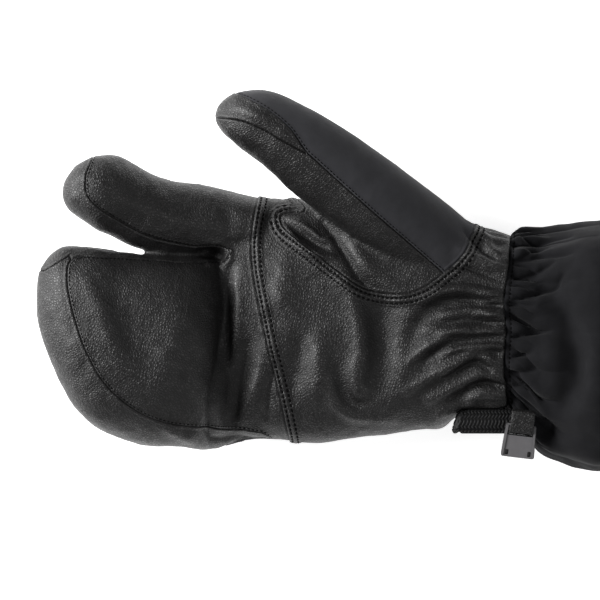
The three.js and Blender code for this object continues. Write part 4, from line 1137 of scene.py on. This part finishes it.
# The leash: a flat braided band whose loop is folded flat and stowed along the outer edge
# of the hand, both ends held under the tab at the wrist seam.
LEASH_WIDTH, LEASH_THICKNESS, LEASH_LENGTH, LEASH_BEND, LEASH_SLANT = 11.2, 2.2, 27.8, 0.7, 0.3
LEASH_TUCK = 3.2  # mm that its upper edge lies under the edge of the hand
PLAIT = 1.7  # mm, both the width of a plait and the pitch of its strands
PLAIT_RELIEF = 0.5
LEASH_CORE = LEASH_THICKNESS / 2 - 0.3  # half the thickness beneath the strands
leash_low, leash_high = (np.array(corner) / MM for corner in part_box("wrist_leash"))
turn_radius = LEASH_BEND + LEASH_THICKNESS / 2
turn_x = LEASH_BEND + LEASH_THICKNESS
run = np.arange(turn_x, LEASH_LENGTH, 0.2)
arc = np.linspace(np.pi / 2, 3 * np.pi / 2, 28)[1:-1]
path_x = np.concatenate([run[::-1], turn_x + turn_radius * np.cos(arc), run])
path_z = np.concatenate([
    np.full_like(run, turn_x + turn_radius), turn_x + turn_radius * np.sin(arc),
    np.full_like(run, turn_x - turn_radius),
])
path_length = np.append(0, np.cumsum(np.hypot(np.diff(path_x), np.diff(path_z))))
tangent = np.stack([np.gradient(path_x), np.gradient(path_z)], -1)
tangent /= np.linalg.norm(tangent, axis=1)[:, None]
section = np.linspace(0, 2 * np.pi, 100, endpoint=False)
band_across, band_rise = rounded_box(
    section, LEASH_WIDTH / 2 - 0.1, LEASH_CORE, LEASH_CORE, 4)
plait = (band_across[None, :] + LEASH_WIDTH / 2) / PLAIT
lean = np.where(np.floor(plait) % 2 == 0, 1, -1)
strand = path_length[:, None] / PLAIT + 0.75 * lean * (plait % 1 - 0.5)
relief = PLAIT_RELIEF * np.sqrt(np.abs(np.sin(np.pi * strand))) * (1 - (2 * (plait % 1) - 1) ** 4)
swell = 1 + relief / LEASH_CORE
normal_rise = band_rise[None, :] * swell
leash_x = path_x[:, None] + normal_rise * tangent[:, 1:]
leash_z = path_z[:, None] - normal_rise * tangent[:, :1]
leash_y = np.broadcast_to(band_across[None, :], leash_x.shape) - LEASH_WIDTH / 2
free = 1 - leash_x / LEASH_LENGTH  # 1 at the loop's turn and 0 at its ends
narrowed = 1 - 0.14 * bell(leash_x - 3.6, 0.8) - 0.22 * (1 - eased(leash_x, -0.4, 1.8))
leash_y = (leash_y + LEASH_WIDTH / 2) * narrowed - LEASH_WIDTH / 2
leash_x = leash_x + LEASH_SLANT * (leash_y + LEASH_WIDTH) * free
leash_points = np.stack([leash_x, leash_y, leash_z], -1) + [
    leash_low[0], leash_high[1] + LEASH_TUCK, leash_low[2]]
rings, around = leash_x.shape
k = np.arange(around)
leash_ends = np.vstack([leash_points[0].mean(0), leash_points[-1].mean(0)])
end_fans = np.vstack([
    np.stack([k, (k + 1) % around, np.full(around, rings * around)], -1),
    np.stack([(k + 1) % around, k, np.full(around, rings * around + 1)], -1)
    + [(rings - 1) * around, (rings - 1) * around, 0],
])
leash_quads = ring_faces(rings, around)
leash_faces = np.vstack([leash_quads[:, [0, 3, 1]], leash_quads[:, [1, 3, 2]], end_fans])

braid = Finish("braid", roughness=0.55, specular_ior_level=0.22)
braid.set("Base Color", braid.colour(
    braid.noise(0.6, 2), (0.0012, 0.0012, 0.0014), (0.004, 0.004, 0.0045)))
braid.relief(braid.noise(0.25, 2, 0.6), 0.08, 0.6)
leash = put_mesh(
    "wrist_leash_braid", np.vstack([leash_points.reshape(-1, 3), leash_ends]), leash_faces, [braid])
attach(leash, "root")
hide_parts("wrist_leash")

# The tab: a leather loop from the wrist seam that goes round the clip's bar and is stitched
# back on itself.
TAB_WIDTH, TAB_THICKNESS, TAB_ROOT = 11.2, 1.4, 5.0
TAB_BEND, TAB_SHOWN, TAB_ASIDE = 0.95, 10.5, 0.35  # mm thick in the slot, wide, off centre
CLIP_THICKNESS, CLIP_LENGTH, CLIP_BAR, CLIP_DROOP, CLIP_TURN = 2.4, 15.4, 3.2, 12, 7
FIT_GAP = 0.35
clip_low = np.array(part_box("clip")[0]) / MM
droop, turn = np.radians(CLIP_DROOP), -np.radians(CLIP_TURN)
clip_place = np.array([
    WRIST_X + 2 * FIT_GAP + TAB_WIDTH / 2,
    (cuff_rows[0, 1] - cuff_rows[0, 2] / 2) * CUFF_WIDTH - 6.5,
    clip_low[2] + CLIP_LENGTH * np.sin(droop),
])


def on_clip(points):
    """From the clip's own frame, whose bar lies along X at the origin: drooped about X, then
    turned about Z, then moved to the clip's place."""
    x, y, z = np.moveaxis(np.asarray(points, float), -1, 0)
    y, z = y * np.cos(droop) - z * np.sin(droop), y * np.sin(droop) + z * np.cos(droop)
    x, y = x * np.cos(turn) - y * np.sin(turn), x * np.sin(turn) + y * np.cos(turn)
    return np.stack([x, y, z], -1) + clip_place


loop_turn = np.linspace(0, 2 * np.pi, 120, endpoint=False)
low_y, high_y = -CLIP_BAR - 0.15 - TAB_BEND / 2, TAB_ROOT + 1.5 - TAB_THICKNESS / 2
loop_across, loop_rise = rounded_box(
    loop_turn, (high_y - low_y) / 2, *[(CLIP_THICKNESS + TAB_THICKNESS) / 2 + FIT_GAP] * 2, 4.5)
loop = np.stack([loop_across + (high_y + low_y) / 2, loop_rise + CLIP_THICKNESS / 2], -1)
# Beneath the clip the loop reaches a little farther along the plate
loop[:, 0] -= 1.2 * eased(1.2 - loop[:, 1], 0, 1.6) * eased(-loop[:, 0], 1.5, 3.5)
loop_tangent = np.roll(loop, -1, 0) - np.roll(loop, 1, 0)
loop_tangent /= np.linalg.norm(loop_tangent, axis=1)[:, None]
loop_normal = np.stack([loop_tangent[:, 1], -loop_tangent[:, 0]], -1)
thinned = (TAB_BEND + (TAB_THICKNESS - TAB_BEND) * eased(loop[:, :1], -3.5, -1)) / TAB_THICKNESS
edge_across, edge_rise = rounded_box(
    np.linspace(0, 2 * np.pi, 44, endpoint=False), TAB_SHOWN / 2, *[TAB_THICKNESS / 2] * 2, 5)
tab_points = np.stack([
    np.broadcast_to(edge_across + TAB_ASIDE, (len(loop), len(edge_across))),
    loop[:, :1] + loop_normal[:, :1] * edge_rise * thinned,
    loop[:, 1:] + loop_normal[:, 1:] * edge_rise * thinned,
], -1)
tab = put_mesh(
    "clip_tab_leather", on_clip(tab_points).reshape(-1, 3),
    ring_faces(*tab_points.shape[:2], wrap_rows=True), [leather],
)
# The whole tab counts as much rubbed: shinier, and painted lighter all over as a painted highlight.
rubbed_and_highlit = tab.data.attributes.new("wear_and_highlight", "FLOAT", "POINT")
rubbed_and_highlit.data.foreach_set("value", np.full(len(tab.data.vertices), 0.85, np.float32))
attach(tab, "root")
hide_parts("clip_tab")

# The clip: a moulded plastic plate, its edges eased by the mould, with a slot for the tab,
# a low rail along each side and two small pockets at its free end.
# Two copies of one plastic: its own near black, and a lighter grey on the faces that look up, which is
# painted light.
clip_plastic = Finish("clip plastic", roughness=0.4, specular_ior_level=0.5)
clip_lit_face = Finish("clip face painted lit", roughness=0.4, specular_ior_level=0.5)
for finish, dark, light in (
        (clip_plastic, (0.012, 0.012, 0.013), (0.018, 0.018, 0.019)),
        (clip_lit_face, (0.125, 0.121, 0.126), (0.15, 0.146, 0.152))):
    moulding = finish.noise(2.5, 3)
    finish.set("Base Color", finish.colour(moulding, dark, light))
    finish.set("Roughness", finish.between(moulding, 0.2, 0.8, 0.38, 0.5))
    finish.relief(finish.noise(0.3, 2), 0.03, 0.5)
plate = bmesh.new()
plate.from_mesh(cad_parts["clip"].data)
bmesh.ops.remove_doubles(plate, verts=plate.verts, dist=0.01 * MM)
bmesh.ops.dissolve_limit(plate, angle_limit=np.radians(2), verts=plate.verts, edges=plate.edges)
CLIP_HALF, CLIP_NARROW = 7.6, 6.8  # half the plate's width at its free end and at the tab
for side in (-1, 1):
    outer, inner = side * np.array([CLIP_HALF, CLIP_NARROW]), side * np.array([0.25, 1.15])
    rail = np.array([
        (x - inset, y, z) for z in (CLIP_THICKNESS - 0.3, CLIP_THICKNESS + 0.4)
        for x, y, inset in (
            (outer[0], 0.7 - CLIP_LENGTH, inner[0]), (outer[0], 0.7 - CLIP_LENGTH, inner[1]),
            (outer[1], -0.7, inner[1]), (outer[1], -0.7, inner[0]))
    ])
    corners = [plate.verts.new(corner) for corner in on_clip(rail) * MM]
    for face in ((0, 1, 2, 3), (7, 6, 5, 4), (0, 4, 5, 1), (1, 5, 6, 2), (2, 6, 7, 3), (3, 7, 4, 0)):
        plate.faces.new([corners[k] for k in face])
bmesh.ops.recalc_face_normals(plate, faces=plate.faces)
clip_mesh = bpy.data.meshes.new("clip_plate")
plate.to_mesh(clip_mesh)
plate.free()
for finish in (clip_plastic, clip_lit_face):
    clip_mesh.materials.append(finish.material)
face_normals = np.empty(3 * len(clip_mesh.polygons), np.float32)
clip_mesh.polygons.foreach_get("normal", face_normals)
plate_up = on_clip([0, 0, 1]) - on_clip([0, 0, 0])
faces_painted_lit = face_normals.reshape(-1, 3) @ plate_up > 0.95  # the faces that look up, which get the lighter copy: painted light
clip_mesh.polygons.foreach_set("material_index", faces_painted_lit.astype(np.int32))
clip = bpy.data.objects.new("clip_plate", clip_mesh)
bpy.context.collection.objects.link(clip)
ease = clip.modifiers.new("ease", "BEVEL")
ease.width = 0.35 * MM
ease.segments = 3
ease.limit_method = "ANGLE"
ease.angle_limit = np.radians(40)
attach(clip, "root")
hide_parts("clip")
